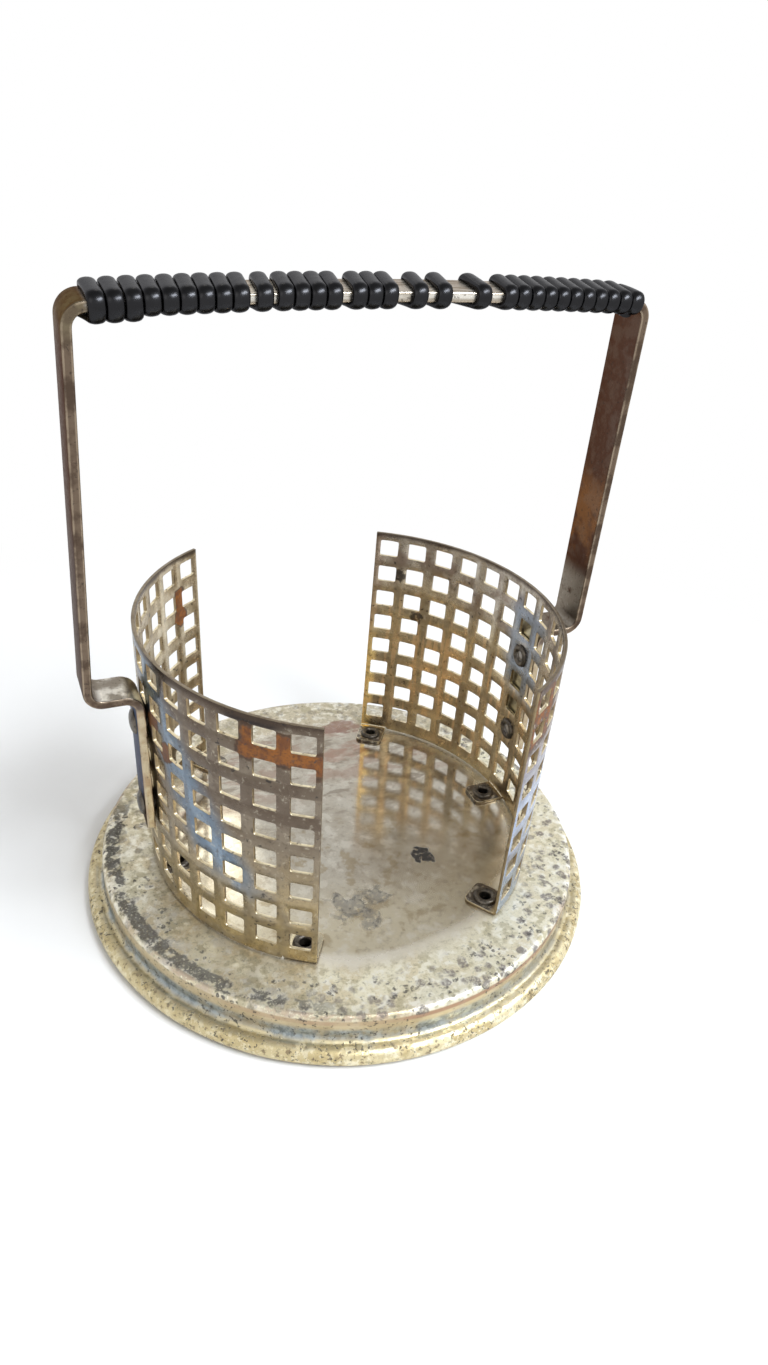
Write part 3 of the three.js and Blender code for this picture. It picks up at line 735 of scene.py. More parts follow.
class HOLDER_OT_galleries(bpy.types.Operator):
    """Builds both perforated galleries with their bent-in tabs"""

    bl_idname = "holder.galleries"
    bl_label = "Galleries"

    def execute(self, context):
        sizes = context.scene.holder_gallery
        for gallery in both_galleries():
            sheet = SheetMesh(gallery)
            add_perforated_wall(sheet)
            made = new_object(f"gallery_sheet_{gallery.name}", sheet.verts, sheet.faces, WELD)
            thicken = made.modifiers.new("sheet", "SOLIDIFY")
            thicken.thickness = sizes.sheet
            thicken.offset = 0
            thicken.use_even_offset = True
            soften = made.modifiers.new("edges", "BEVEL")
            soften.width = sizes.edge_round
            soften.segments = 2
            soften.limit_method = "ANGLE"
            soften.angle_limit = math.radians(50)
            settle(made)
            finishes = [gallery_plate(gallery, "outside"), gallery_plate(gallery, "inside"), cut_edge()]
            dress(made, [f"gallery_{gallery.name}"], finishes)
            paint_sides(made, gallery)
        return {"FINISHED"}


# Eyelets and rivets

FASTENER_STEPS = 48
# How fine the unevenness is round a head, the radius from which it is full, and how far apart the heads
# draw theirs.
HEAD_WAVES = 1.7
FULLY_UNEVEN = 3 * MM
EYELET_SEEDS = 3.1
RIVET_SEEDS = 1.3
# A rivet's hollow end: its bottom's width as a share of the bore, and how deep its edge and middle lie as
# shares of the head's height. The dome stops short of its top, in degrees.
BOTTOM_WIDTH = 0.8
BOTTOM_EDGE = 0.15
BOTTOM_MIDDLE = 0.2
DOME_DEGREES = 82


def uneven(verts, amount, seed):
    """Makes a rolled head a little out of round."""
    moved = []
    for x, y, z in verts:
        radius = math.hypot(x, y)
        if radius > TINY:
            wave = soft_noise(x / radius * HEAD_WAVES + seed, y / radius * HEAD_WAVES, seed)
            kept = 1 - amount * wave * min(1, radius / FULLY_UNEVEN) / radius
            x, y = x * kept, y * kept
        moved.append((x, y, z))
    return moved


def eyelet_profile(sizes, seat, foot):
    """A hollow barrel with a rolled head above and a clinched foot below."""
    bore = sizes.barrel - sizes.wall
    head = (sizes.wall + sizes.head_lip) / 2
    clinch = (sizes.wall + sizes.clinch_lip) / 2
    profile = arc(bore + clinch, foot, clinch, 180, 360, 10, sizes.clinch_height)
    profile += [(sizes.barrel, foot), (sizes.barrel, seat)]
    profile += arc(bore + head, seat, head, 0, 180, 14, sizes.head_height)
    return profile


def rivet_profile(sizes, seat, foot):
    """A rivet with a domed head above and a hollow, rolled end below, closed in its middle."""
    bore = sizes.barrel - sizes.wall
    roll = (sizes.wall + sizes.head_lip) / 2
    head = sizes.barrel + sizes.head_lip
    profile = [
        (0, foot - BOTTOM_MIDDLE * sizes.head_height),
        (BOTTOM_WIDTH * bore, foot - BOTTOM_EDGE * sizes.head_height),
    ]
    profile += arc(bore + roll, foot, roll, 180, 360, 12, sizes.head_height)
    profile += [(sizes.barrel, foot), (sizes.barrel, seat)]
    profile += arc(0, seat, head, 0, DOME_DEGREES, 10, sizes.dome_height)
    profile += [(0, seat + sizes.dome_height)]
    return profile


class HOLDER_OT_fasteners(bpy.types.Operator):
    """Builds the six base eyelets and the four strap rivets"""

    bl_idname = "holder.fasteners"
    bl_label = "Eyelets and rivets"

    def execute(self, context):
        sizes = context.scene.holder_fasteners
        dish = context.scene.holder_dish
        strap = context.scene.holder_strap
        eyelet_finish, rivet_finish, core_finish = map(eyelet_metal, ("eyelet", "rivet", "core"))
        for seed, gallery in enumerate(both_galleries()):
            sheet = gallery.sizes.sheet
            seat = dish.floor_height + sheet + sizes.seat_gap
            foot = dish.floor_height - dish.sheet - sizes.seat_gap
            for end in TAB_ENDS:
                verts, faces = turned(eyelet_profile(sizes, seat, foot), FASTENER_STEPS)
                verts = uneven(verts, sizes.unevenness, seed + TAB_ENDS[end] * EYELET_SEEDS)
                made = new_object(f"eyelet_{gallery.name}_{end}", verts, faces)
                place = gallery.eyelet(end)
                made.data.transform(Matrix.Translation((place.x, place.y, 0)))
                dress(made, [f"base_eyelet_{gallery.name}_{end}"], [eyelet_finish])
            for name, row in RIVET_ROWS.items():
                height = gallery.rivet_height(row)
                outer = strap.gap + strap.thickness + sizes.seat_gap
                inner = -sheet - sizes.seat_gap
                verts, faces = turned(rivet_profile(sizes, outer, inner), FASTENER_STEPS)
                verts = uneven(verts, sizes.unevenness, seed + row * RIVET_SEEDS)
                made = new_object(f"rivet_{gallery.name}_{name}", verts, faces)
                for side in made.data.polygons:
                    in_bore = math.hypot(side.center.x, side.center.y) < sizes.barrel - sizes.wall
                    side.material_index = int(in_bore and side.center.z < 0)
                turn = Matrix.Rotation(gallery.side * math.pi / 2, 4, "Y")
                face = gallery.side * gallery.outer_face(height)
                made.data.transform(Matrix.Translation((face, 0, height)) @ turn)
                finishes = [rivet_finish, core_finish]
                dress(made, [f"strap_rivet_{gallery.name}_{name}"], finishes)
        return {"FINISHED"}


# The strap

BAR_STEPS = 24
LONGEST_STEP = 2.5 * MM


def rounded_path(corners, step_degrees):
    """Points and normals, in the XZ plane, along a line whose corners are rounded."""
    path = []
    for i, (at, radius) in enumerate(corners):
        before = corners[i - 1][0] if i else at
        after = corners[i + 1][0] if i + 1 < len(corners) else at
        if before is at or after is at or not radius:
            ahead = (after - before).normalized()
            path.append((at.copy(), Vector((-ahead.y, ahead.x))))
            continue
        into, out = (at - before).normalized(), (after - at).normalized()
        turn = math.atan2(into.x * out.y - into.y * out.x, into.dot(out))
        steps = math.ceil(abs(turn) / math.radians(step_degrees))
        hand = math.copysign(1, turn)
        start = at - into * radius * math.tan(abs(turn) / 2)
        centre = start + Vector((-into.y, into.x)) * radius * hand
        for k in range(steps + 1):
            swing = Matrix.Rotation(turn * k / steps, 2)
            point = centre + swing @ (start - centre)
            path.append((point, (point - centre) * (-hand / radius)))
    return path


def strap_line(strap):
    """The strap's middle line from the left foot over the top to the right foot."""
    half = strap.thickness / 2
    arms = {}
    for gallery in both_galleries():
        shelf = gallery.top - strap.shelf_drop - half
        foot = gallery.rivet_height(RIVET_ROWS["lower"]) - strap.tail
        grip = gallery.top + strap.grip_rise
        leg_foot = gallery.sizes.cage_radius + strap.shelf_length - half
        leg_top = leg_foot - strap.draw_in
        inside = strap.gap + half
        arms[gallery.side] = [
            (Vector((gallery.side * (gallery.outer_face(foot) + inside), foot)), 0),
            (Vector((gallery.side * (gallery.outer_face(shelf) + inside), shelf)), strap.shelf_bend),
            (Vector((gallery.side * leg_foot, shelf)), strap.shelf_bend),
            (Vector((gallery.side * leg_top, grip)), strap.corner_bend),
        ]
    bar = []
    for i in range(2, BAR_STEPS - 1):
        share = 2 * i / BAR_STEPS - 1
        bar.append((Vector((share * leg_top, grip + strap.arch * (1 - share**2))), 0))
    line = rounded_path(arms[-1] + bar + arms[1][::-1], 6)
    return line, shelf, grip


def subdivided(line, longest):
    """The line with points added so that no step is longer than this."""
    finer = [line[0]]
    for (a, na), (b, nb) in zip(line, line[1:]):
        steps = max(1, math.ceil((b - a).length / longest))
        for k in range(1, steps + 1):
            share = k / steps
            finer.append((a.lerp(b, share), na.lerp(nb, share).normalized()))
    return finer


def leaned(strap, shelf, grip, point):
    """Where the lean puts a point of the upright strap, or of what is wound round it."""
    slope = strap.lean / (grip - shelf)
    reached = max(0.0, point.z - shelf) / (grip - shelf)
    return Vector((point.x, point.y - strap.lean * reached, point.z + point.y * slope * reached))


def bar_section(width, thickness, corner):
    """A rectangle with round corners, as (across, outwards) points."""
    reach_u, reach_v = width / 2 - corner, thickness / 2 - corner
    section = []
    for su, sv, start in ((1, 1, 0), (-1, 1, 90), (-1, -1, 180), (1, -1, 270)):
        section += arc(su * reach_u, sv * reach_v, corner, start, start + 90, 5)
    return section


class HOLDER_OT_strap(bpy.types.Operator):
    """Builds the strap handle as one bent bar with worn edges"""

    bl_idname = "holder.strap"
    bl_label = "Strap handle"

    def execute(self, context):
        strap = context.scene.holder_strap
        line, shelf, grip = strap_line(strap)
        line = subdivided(line, LONGEST_STEP)
        deburr = strap.edge_round
        section = bar_section(strap.width, strap.thickness, deburr)
        smaller = bar_section(strap.width - deburr, strap.thickness - deburr, deburr / 2)
        first, last = line[0], line[-1]
        up_first = (line[1][0] - first[0]).normalized()
        up_last = (line[-2][0] - last[0]).normalized()
        sections = [(first[0], first[1], smaller), (first[0] + up_first * deburr / 2, first[1], section)]
        sections += [(at, normal, section) for at, normal in line[1:-1]]
        sections += [(last[0] + up_last * deburr / 2, last[1], section), (last[0], last[1], smaller)]
        rings, places = [], []
        travelled = 0.0
        previous = sections[0][0]
        for at, normal, outline in sections:
            travelled += (at - previous).length
            previous = at
            ring = []
            for across, outward in outline:
                upright = Vector((at.x + normal.x * outward, across, at.y + normal.y * outward))
                ring.append(leaned(strap, shelf, grip, upright))
                places.append((travelled / MM, across / MM, outward / MM))
            rings.append(ring)
        verts, faces = swept(rings)
        made = new_object("strap_bar", verts, faces)
        store_place(made.data, "strap_place", places)
        dress(made, ["handle_strap"], [strap_plate()])
        return {"FINISHED"}


# The cane

# Extra space, in millimetres, before the turns that lie apart from the one before them.
CANE_SPACES = {9: 1.2, 10: 0.8, 14: 1.8, 17: 3.0, 18: 2.0, 19: 5.5, 20: 2.8}
# The first turns go straight over the top, and the later ones lean more and more.
SETTLING_TURNS = 8
STRAIGHTER_TURNS = {19: 0.5}
# How quickly the turns' slip changes from one to the next, and where its noise is drawn.
SLIP_WAVES = 1.7
SLIP_ROW = 3.3
# Shares of the way under the bar: where the strip starts and ends, over which it sinks, and from where
# it rises again.
STRIP_START = 0.35
STRIP_END = 0.72
SINKS_OVER = 0.25
RISES_FROM = 0.86
# How much of a turn's advance over the top is even; the rest goes in a soft step.
EVEN_ADVANCE = 0.6
# The section: its straight side as a share of the thickness, its base's width, and how full its crown is.
SIDE_SHARE = 0.34
BASE_SHARE = 0.97
FULLNESS = 0.96
# Up to this cosine with the bar a stretch of the strip is narrowed to keep its width along the bar.
CROSSES_BAR = 0.5


def smooth(share):
    """A soft step from 0 to 1."""
    share = min(1.0, max(0.0, share))
    return share * share * (3 - 2 * share)


def cane_loop(strap, cane):
    """One turn as (across, above, outward direction, share of the way over, share of the way under).

    It starts on the front edge, goes over the top to the back edge, and comes back below the bar.
    """
    low = -strap.thickness / 2 - cane.seat - cane.thickness / 2
    high = strap.thickness / 2 + cane.seat + cane.stand_off + cane.thickness / 2
    bend, middle = (high - low) / 2, (high + low) / 2
    straight = strap.width / 2 + cane.seat + cane.stand_off + cane.thickness / 2 - bend
    flat_steps = 9
    corner_steps = 7
    spots = []

    def corner(x, start):
        for k in range(corner_steps):
            turn = math.radians(start - 90 * k / corner_steps)
            out = Vector((math.cos(turn), math.sin(turn)))
            spots.append((Vector((x, middle)) + out * bend, out))

    def flat(above, towards):
        for k in range(flat_steps):
            across = towards * straight * (2 * k / flat_steps - 1)
            spots.append((Vector((across, above)), Vector((0, towards))))

    corner(-straight, 180)
    flat(high, 1)
    corner(straight, 90)
    over = len(spots)
    corner(straight, 0)
    flat(low, -1)
    corner(-straight, 270)
    halves = [spots[:over + 1], spots[over:] + spots[:1]]
    loop = []
    for under, half in enumerate(halves):
        travelled = [0.0]
        for (a, _), (b, _) in zip(half, half[1:]):
            travelled.append(travelled[-1] + (b - a).length)
        for (at, out), way in list(zip(half, travelled))[:-1]:
            share = way / travelled[-1]
            loop.append((at.x, at.y, out, 1.0 if under else share, share if under else 0.0))
    return loop


def follow(line, distance):
    """The place and outward direction at a distance along a line from its middle."""
    middle = min(range(len(line)), key=lambda i: (abs(line[i][0].x), -line[i][0].y))
    step = -1 if distance < 0 else 1
    left = abs(distance)
    i = middle
    while left > (line[i + step][0] - line[i][0]).length:
        left -= (line[i + step][0] - line[i][0]).length
        i += step
    share = left / (line[i + step][0] - line[i][0]).length
    at = line[i][0].lerp(line[i + step][0], share)
    return at, line[i][1].lerp(line[i + step][1], share).normalized()


def front_crossings(strap, cane):
    """Where the turns cross the bar's front edge, from its middle, with one before and one after."""
    bar_end = bpy.context.scene.holder_gallery.cage_radius + strap.shelf_length
    bar_end -= strap.thickness / 2 + strap.draw_in
    places = [cane.inset - bar_end - cane.pitch, cane.inset - bar_end]
    for turn in range(1, cane.turns):
        before, now = [soft_noise(at * SLIP_WAVES, SLIP_ROW) for at in (turn - 1, turn)]
        slip = cane.slip * (now - before)
        places.append(places[-1] + cane.pitch + CANE_SPACES.get(turn, 0) * MM + slip)
    return places + [places[-1]]


def cane_path(strap, cane):
    """Places and outward directions of the whole strip, from its start below the bar at the left."""
    line, shelf, grip = strap_line(strap)
    loop = cane_loop(strap, cane)
    fronts = front_crossings(strap, cane)
    path = []
    for turn in range(-1, cane.turns):
        here, following = fronts[turn + 1], fronts[turn + 2]
        over = cane.advance * (1 - math.exp(-max(turn, 0) / SETTLING_TURNS))
        over *= STRAIGHTER_TURNS.get(turn, 1)
        last = turn == cane.turns - 1
        hang = cane.tuck if turn < 2 else cane.tail if last else 0
        for across, above, out, top_share, under_share in loop:
            if turn < 0 and under_share < STRIP_START or last and under_share > STRIP_END:
                continue
            moved = over * (EVEN_ADVANCE * top_share + (1 - EVEN_ADVANCE) * smooth(top_share))
            moved += (following - here - over) * smooth(under_share)
            risen = smooth((under_share - RISES_FROM) / (1 - RISES_FROM))
            at, up = follow(line, here + moved)
            above -= hang * smooth(under_share / SINKS_OVER) * (1 - risen)
            upright = Vector((at.x + up.x * above, across, at.y + up.y * above))
            outward = Vector((up.x * out.y, out.x, up.y * out.y)).normalized()
            path.append((leaned(strap, shelf, grip, upright), outward))
    return path


def cane_section(width, thickness):
    """Flat inside, short straight sides and crowned outside, as (along the bar, outwards) points."""
    half, base = width / 2, -thickness / 2
    side = SIDE_SHARE * thickness
    crown = []
    for c, s in arc(0, 0, 1, 0, 180, 16):
        across = math.copysign(abs(c) ** FULLNESS, c)
        crown.append((half * across, base + side + (thickness - side) * abs(s) ** FULLNESS))
    return crown + [(-BASE_SHARE * half, base), (BASE_SHARE * half, base)]


class HOLDER_OT_cane(bpy.types.Operator):
    """Winds the cane round the top bar as one strip"""

    bl_idname = "holder.cane"
    bl_label = "Grip cane"

    def execute(self, context):
        strap, cane = context.scene.holder_strap, context.scene.holder_cane
        path = cane_path(strap, cane)
        section = cane_section(cane.width, cane.thickness)
        rings = []
        for i, (centre, out) in enumerate(path):
            ahead = path[min(i + 1, len(path) - 1)][0] - path[max(i - 1, 0)][0]
            ahead.normalize()
            across = ahead.cross(out).normalized()
            outward = across.cross(ahead)
            narrowed = math.sqrt(max(0.0, 1 - ahead.x**2)) if abs(ahead.x) < CROSSES_BAR else 1.0
            rings.append([centre + across * u * narrowed + outward * v for u, v in section])
        made = new_object("grip_cane", *swept(rings))
        dress(made, ["grip_cane_left", "grip_cane_right"], [black_cane()], sharp_degrees=60)
        return {"FINISHED"}


# Finishes


class Paint:
    """Builds one material's nodes; each method returns the socket that it made."""

    def __init__(self, name):
        self.material = bpy.data.materials.new(name)
        self.material.use_nodes = True
        self.nodes = self.material.node_tree.nodes
        self.links = self.material.node_tree.links
        self.shader = self.nodes["Principled BSDF"]
        self.colours = bpy.context.scene.holder_finishes

    def put(self, socket, value):
        """Links a socket, or sets a number or colour."""
        if isinstance(value, bpy.types.NodeSocket):
            self.links.new(value, socket)
        elif hasattr(value, "__len__") and len(value) == 3 and len(socket.default_value) == 4:
            socket.default_value = (*value, 1)
        else:
            socket.default_value = value

    def node(self, kind, **inputs):
        """A node with some of its inputs set or linked."""
        made = self.nodes.new(kind)
        for name, value in inputs.items():
            self.put(made.inputs[name.replace("_", " ")], value)
        return made

    def place(self):
        """The point's place in the frame, in millimetres."""
        source = self.nodes.new("ShaderNodeTexCoord").outputs["Object"]
        return self.scaled(source, 1 / MM)

    def stored(self, name):
        """The three numbers kept with each point."""
        source = self.nodes.new("ShaderNodeAttribute")
        source.attribute_name = name
        return source.outputs["Vector"]

    def facing(self):
        """The surface's own direction."""
        return self.nodes.new("ShaderNodeTexCoord").outputs["Normal"]

    def scaled(self, vector, by):
        """The vector times one number or three."""
        made = self.nodes.new("ShaderNodeVectorMath")
        made.operation = "MULTIPLY"
        self.put(made.inputs[0], vector)
        made.inputs[1].default_value = (by, by, by) if isinstance(by, (int, float)) else by
        return made.outputs[0]

    def split(self, vector):
        """The vector's three numbers."""
        made = self.nodes.new("ShaderNodeSeparateXYZ")
        self.put(made.inputs[0], vector)
        return made.outputs

    def joined(self, x, y, z=0.0):
        """One vector of three numbers."""
        made = self.nodes.new("ShaderNodeCombineXYZ")
        for socket, value in zip(made.inputs, (x, y, z)):
            self.put(socket, value)
        return made.outputs[0]

    def math(self, operation, *values):
        """One step of arithmetic."""
        made = self.nodes.new("ShaderNodeMath")
        made.operation = operation
        for socket, value in zip(made.inputs, values):
            self.put(socket, value)
        return made.outputs[0]

    def times(self, *values):
        """All the values multiplied."""
        result = values[0]
        for value in values[1:]:
            result = self.math("MULTIPLY", result, value)
        return result

    def largest(self, *values):
        """The largest of the values."""
        result = values[0]
        for value in values[1:]:
            result = self.math("MAXIMUM", result, value)
        return result

    def from_axis(self, x, y):
        """The distance from the upright axis."""
        return self.math("SQRT", self.math("ADD", self.times(x, x), self.times(y, y)))

    def noise(self, vector, size, detail=3.0, roughness=0.55):
        """Noise whose features are about this many millimetres across."""
        inputs = {"Vector": vector, "Scale": 1 / size, "Detail": detail, "Roughness": roughness}
        return self.node("ShaderNodeTexNoise", **inputs).outputs[0]

    def cells(self, vector, size):
        """Distance to the middle of the nearest of cells of this size."""
        return self.node("ShaderNodeTexVoronoi", Vector=vector, Scale=1 / size).outputs["Distance"]

    def ramp(self, value, low, high, start=0.0, end=1.0):
        """A smooth step from start at low to end at high."""
        made = self.nodes.new("ShaderNodeMapRange")
        made.interpolation_type = "SMOOTHSTEP"
        for socket, number in zip(made.inputs, (value, low, high, start, end)):
            self.put(socket, number)
        return made.outputs[0]

    def band(self, value, low, high, soft):
        """One between low and high, with soft ends."""
        begun = self.ramp(value, low - soft, low + soft)
        return self.times(begun, self.ramp(value, high - soft, high + soft, 1.0, 0.0))

    def mix(self, factor, first, second):
        """From the first colour at 0 to the second at 1."""
        made = self.nodes.new("ShaderNodeMix")
        made.data_type = "RGBA"
        self.put(made.inputs[0], factor)
        self.put(made.inputs[6], first)
        self.put(made.inputs[7], second)
        return made.outputs[2]

    def coats(self, shade, *layers):
        """Lays colours over a first one, each through its own mask."""
        for mask, colour_on_top in layers:
            shade = self.mix(mask, shade, colour_on_top)
        return shade

    def mix_numbers(self, factor, first, second):
        """From the first number at 0 to the second at 1."""
        return self.math("MULTIPLY_ADD", factor, self.math("SUBTRACT", second, first), first)

    def stirred(self, vector, size, amount):
        """The vector pushed about by noise, so that what follows it gets ragged outlines."""
        source = self.node("ShaderNodeTexNoise", Vector=vector, Scale=1 / size, Detail=2)
        pushed = self.nodes.new("ShaderNodeVectorMath")
        pushed.operation = "MULTIPLY_ADD"
        self.put(pushed.inputs[0], source.outputs["Color"])
        pushed.inputs[1].default_value = (amount, amount, amount)
        self.put(pushed.inputs[2], vector)
        return pushed.outputs[0]

    def wobbling_distance(self, vector, centre, radius, ragged, size):
        """Distance from a place, made uneven by a share of the radius."""
        away = self.nodes.new("ShaderNodeVectorMath")
        away.operation = "DISTANCE"
        self.put(away.inputs[0], vector)
        away.inputs[1].default_value = centre
        wobble = self.noise(vector, size, 4)
        edge = self.math("MULTIPLY_ADD", wobble, 2 * ragged * radius, -ragged * radius)
        return self.math("ADD", away.outputs["Value"], edge)

    def spot(self, vector, centre, radius, ragged=0.5, size=2.0):
        """A ragged spot about a place, one inside and none outside."""
        distance = self.wobbling_distance(vector, centre, radius, ragged, size)
        return self.ramp(distance, 0.85 * radius, 1.1 * radius, 1.0, 0.0)

    def finish(self, colour_socket, roughness, metallic, height=None, depth=0.05):
        """Wires the shader; depth is the bump's height in millimetres."""
        self.put(self.shader.inputs["Base Color"], colour_socket)
        self.put(self.shader.inputs["Roughness"], roughness)
        self.put(self.shader.inputs["Metallic"], metallic)
        if height is not None:
            bump = self.nodes.new("ShaderNodeBump")
            bump.inputs["Strength"].default_value = 1
            bump.inputs["Distance"].default_value = depth * MM
            self.put(bump.inputs["Height"], height)
            self.put(self.shader.inputs["Normal"], bump.outputs[0])
        return self.material


# The dish's finish: tints laid over the main colours, and where its large marks lie, in millimetres

FLOOR_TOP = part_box("dish")[1].z / MM
LEDGE_TAN = (0.58, 0.47, 0.28)
LEDGE_WARM = (0.74, 0.69, 0.52)
LEDGE_BROWN = (0.44, 0.36, 0.25)
LEDGE_CREAM = (0.80, 0.78, 0.70)
LEDGE_MOSS = (0.40, 0.355, 0.22)
WORN_SHOULDER = (0.42, 0.30, 0.20)
# Painted highlight colours for the shoulder's round: pink to the left, white to the right.
PINK_SHOULDER_HIGHLIGHT = (0.93, 0.84, 0.70)
WHITE_SHOULDER_HIGHLIGHT = (0.95, 0.93, 0.88)
FLOOR_BEIGE = (0.60, 0.565, 0.485)
FLOOR_TAN = (0.66, 0.59, 0.43)
FLOOR_BROWN = (0.30, 0.25, 0.19)
FLOOR_CREAM = (0.76, 0.72, 0.63)
FLOOR_OCHRE = (0.37, 0.29, 0.17)
FLOOR_UMBER = (0.22, 0.17, 0.125)
FLOOR_POLISH = (0.84, 0.79, 0.68)
FLOOR_FLECKS = (0.66, 0.60, 0.48)
WALL_GOLD = (0.60, 0.51, 0.34)
WALL_TAN = (0.50, 0.41, 0.26)
WALL_PINK = (0.42, 0.27, 0.18)
# Painted blue-grey reflection in the hollow between wall and rim, darker and lighter by noise.
HOLLOW_REFLECTION_DARK = (0.22, 0.25, 0.26)
HOLLOW_REFLECTION_GREY = (0.36, 0.40, 0.41)
GROOVE_GOLD = (0.62, 0.54, 0.34)
BEAD_GOLD = (0.78, 0.69, 0.45)
BEAD_TAN = (0.60, 0.49, 0.27)
BEAD_BROWN = (0.50, 0.41, 0.22)
# Painted whitish highlight on the bead.
BEAD_HIGHLIGHT = (0.92, 0.87, 0.68)
BEAD_UMBER = (0.24, 0.18, 0.11)
SCUFF_GREY = (0.25, 0.24, 0.225)
# Painted shade where the sheet faces down.
SHADED_UNDERSIDE = (0.22, 0.19, 0.14)
BLACK_SCUFF = (16.0, -17.0, FLOOR_TOP)
GREY_SCUFFS = (
    ((-8.5, -27.5, FLOOR_TOP), 4.4),
    ((-1.0, -26.5, FLOOR_TOP), 3.0),
    ((-5.0, -33.5, FLOOR_TOP), 3.2),
)
# Red-brown stains at the back of the floor: place in the drawn-out pattern, strength and tint.
FLOOR_STAINS = (
    ((8, 43.5, FLOOR_TOP), 0.7, (0.27, 0.13, 0.10)),
    ((7, 30, FLOOR_TOP), 0.45, (0.40, 0.22, 0.16)),
)


def ledge_paint(p, x, y, radius, noises):
    """The flat ring outside the galleries: yellowed, finely mottled plate, with a painted highlight along its
    shoulder.
    """
    broad, patch, fine, grain = noises
    c = p.colours
    lumps = p.noise(p.place(), 3.4, 4, 0.6)
    plate = p.coats(
        p.mix(p.ramp(broad, 0.38, 0.62), c.plate, c.grey_plate),
        (p.ramp(patch, 0.46, 0.62, 0, 0.55), LEDGE_TAN),
        (p.ramp(x, -36, 34, 0, 0.55), LEDGE_WARM),
        (p.ramp(y, 22, 44, 0, 0.5), LEDGE_BROWN),
        (p.ramp(lumps, 0.53, 0.62, 0, 0.6), LEDGE_CREAM),
        (p.ramp(lumps, 0.46, 0.37, 0, 0.55), LEDGE_MOSS),
        (p.ramp(fine, 0.52, 0.62, 0, 0.55), c.bright_plate),
        (p.times(p.ramp(grain, 0.52, 0.62), p.ramp(fine, 0.54, 0.44), 0.42), c.olive),
    )
    worn_off = p.times(p.band(radius, 60.2, 61.3, 0.2), p.ramp(broad, 0.56, 0.44), p.ramp(fine, 0.40, 0.52))
    # A painted highlight along the shoulder's round, broken up by noise and strongest to the right.
    shoulder = p.times(p.band(radius, 59.6, 61.0, 0.4), p.ramp(fine, 0.47, 0.55))
    shoulder = p.times(shoulder, p.ramp(broad, 0.44, 0.54, 0.1, 0.6), p.ramp(x, -58, -14, 0.4, 1))
    shoulder_highlight = p.mix(p.ramp(x, -20, 20), PINK_SHOULDER_HIGHLIGHT, WHITE_SHOULDER_HIGHLIGHT)
    return p.coats(plate, (p.times(worn_off, 0.75), WORN_SHOULDER), (shoulder, shoulder_highlight))


def floor_paint(p, at, y, radius, patch, fine):
    """The rubbed disc between the galleries: pinkish grey, tan to the front, with pale and dark clouds."""
    c = p.colours
    cloud = p.noise(at, 5.5, 5, 0.65)
    strokes = p.noise(p.scaled(at, (0.45, 1, 1)), 5, 4, 0.6)
    polished = p.times(p.band(radius, 43.8, 47.6, 1.2), p.ramp(y, 12, -8), p.ramp(patch, 0.3, 0.5, 0.5, 0.95))
    return p.coats(
        p.mix(p.ramp(patch, 0.36, 0.64), c.satin, FLOOR_BEIGE),
        (p.ramp(y, -14, -36, 0, 0.8), FLOOR_TAN),
        (p.ramp(fine, 0.46, 0.36, 0, 0.35), FLOOR_BROWN),
        (p.ramp(cloud, 0.53, 0.62, 0, 0.5), FLOOR_CREAM),
        (p.times(p.ramp(cloud, 0.46, 0.37), p.ramp(y, 14, -8), 0.6), FLOOR_OCHRE),
        (p.times(p.ramp(strokes, 0.48, 0.60), p.ramp(y, 6, 24), 0.5), c.blush),
        (p.times(p.ramp(strokes, 0.46, 0.36), p.ramp(y, -6, 14), 0.55), FLOOR_UMBER),
        (polished, FLOOR_POLISH),
        (p.ramp(fine, 0.60, 0.72, 0, 0.5), FLOOR_FLECKS),
    )


def side_paint(p, x, z, radius, noises):
    """The dish's wall, the hollow above the rim and the rim's bead, with a painted blue-grey reflection in
    the hollow and painted highlights on the bead.
    """
    broad, patch, fine, grain = noises
    pink_line = p.times(p.band(z, 9.0, 10.3, 0.3), p.ramp(broad, 0.36, 0.52, 0.3, 1), p.ramp(x, -52, -22))
    # A painted blue-grey reflection in the hollow, fainter towards the right.
    hollow = p.times(p.band(z, 4.5, 7.6, 0.7), p.ramp(radius, 63.6, 63.0))
    hollow = p.times(hollow, p.ramp(patch, 0.66, 0.42, 0.35, 1), p.ramp(x, 46, -20, 0.55, 1))
    side = p.coats(
        p.mix(p.ramp(patch, 0.38, 0.6), WALL_GOLD, WALL_TAN),
        (pink_line, WALL_PINK),
        (hollow, p.mix(p.ramp(fine, 0.40, 0.56), HOLLOW_REFLECTION_DARK, HOLLOW_REFLECTION_GREY)),
        (p.times(p.band(z, 4.2, 4.9, 0.25), p.ramp(patch, 0.4, 0.6)), GROOVE_GOLD),
    )
    bead = p.coats(
        p.mix(p.ramp(patch, 0.42, 0.58), BEAD_GOLD, BEAD_TAN),
        (p.ramp(x, 20, -40, 0, 0.6), BEAD_BROWN),
        # Painted whitish highlights on the bead, in flecks, more of them to the right.
        (p.times(p.ramp(fine, 0.51, 0.60), p.ramp(x, -50, 10, 0.35, 0.8)), BEAD_HIGHLIGHT),
        (p.ramp(fine, 0.43, 0.36, 0, 0.85), BEAD_UMBER),
        (p.times(p.ramp(grain, 0.54, 0.62), p.ramp(broad, 0.44, 0.58), 0.6), p.colours.olive),
    )
    return p.mix(p.ramp(z, 4.7, 4.2), side, bead)


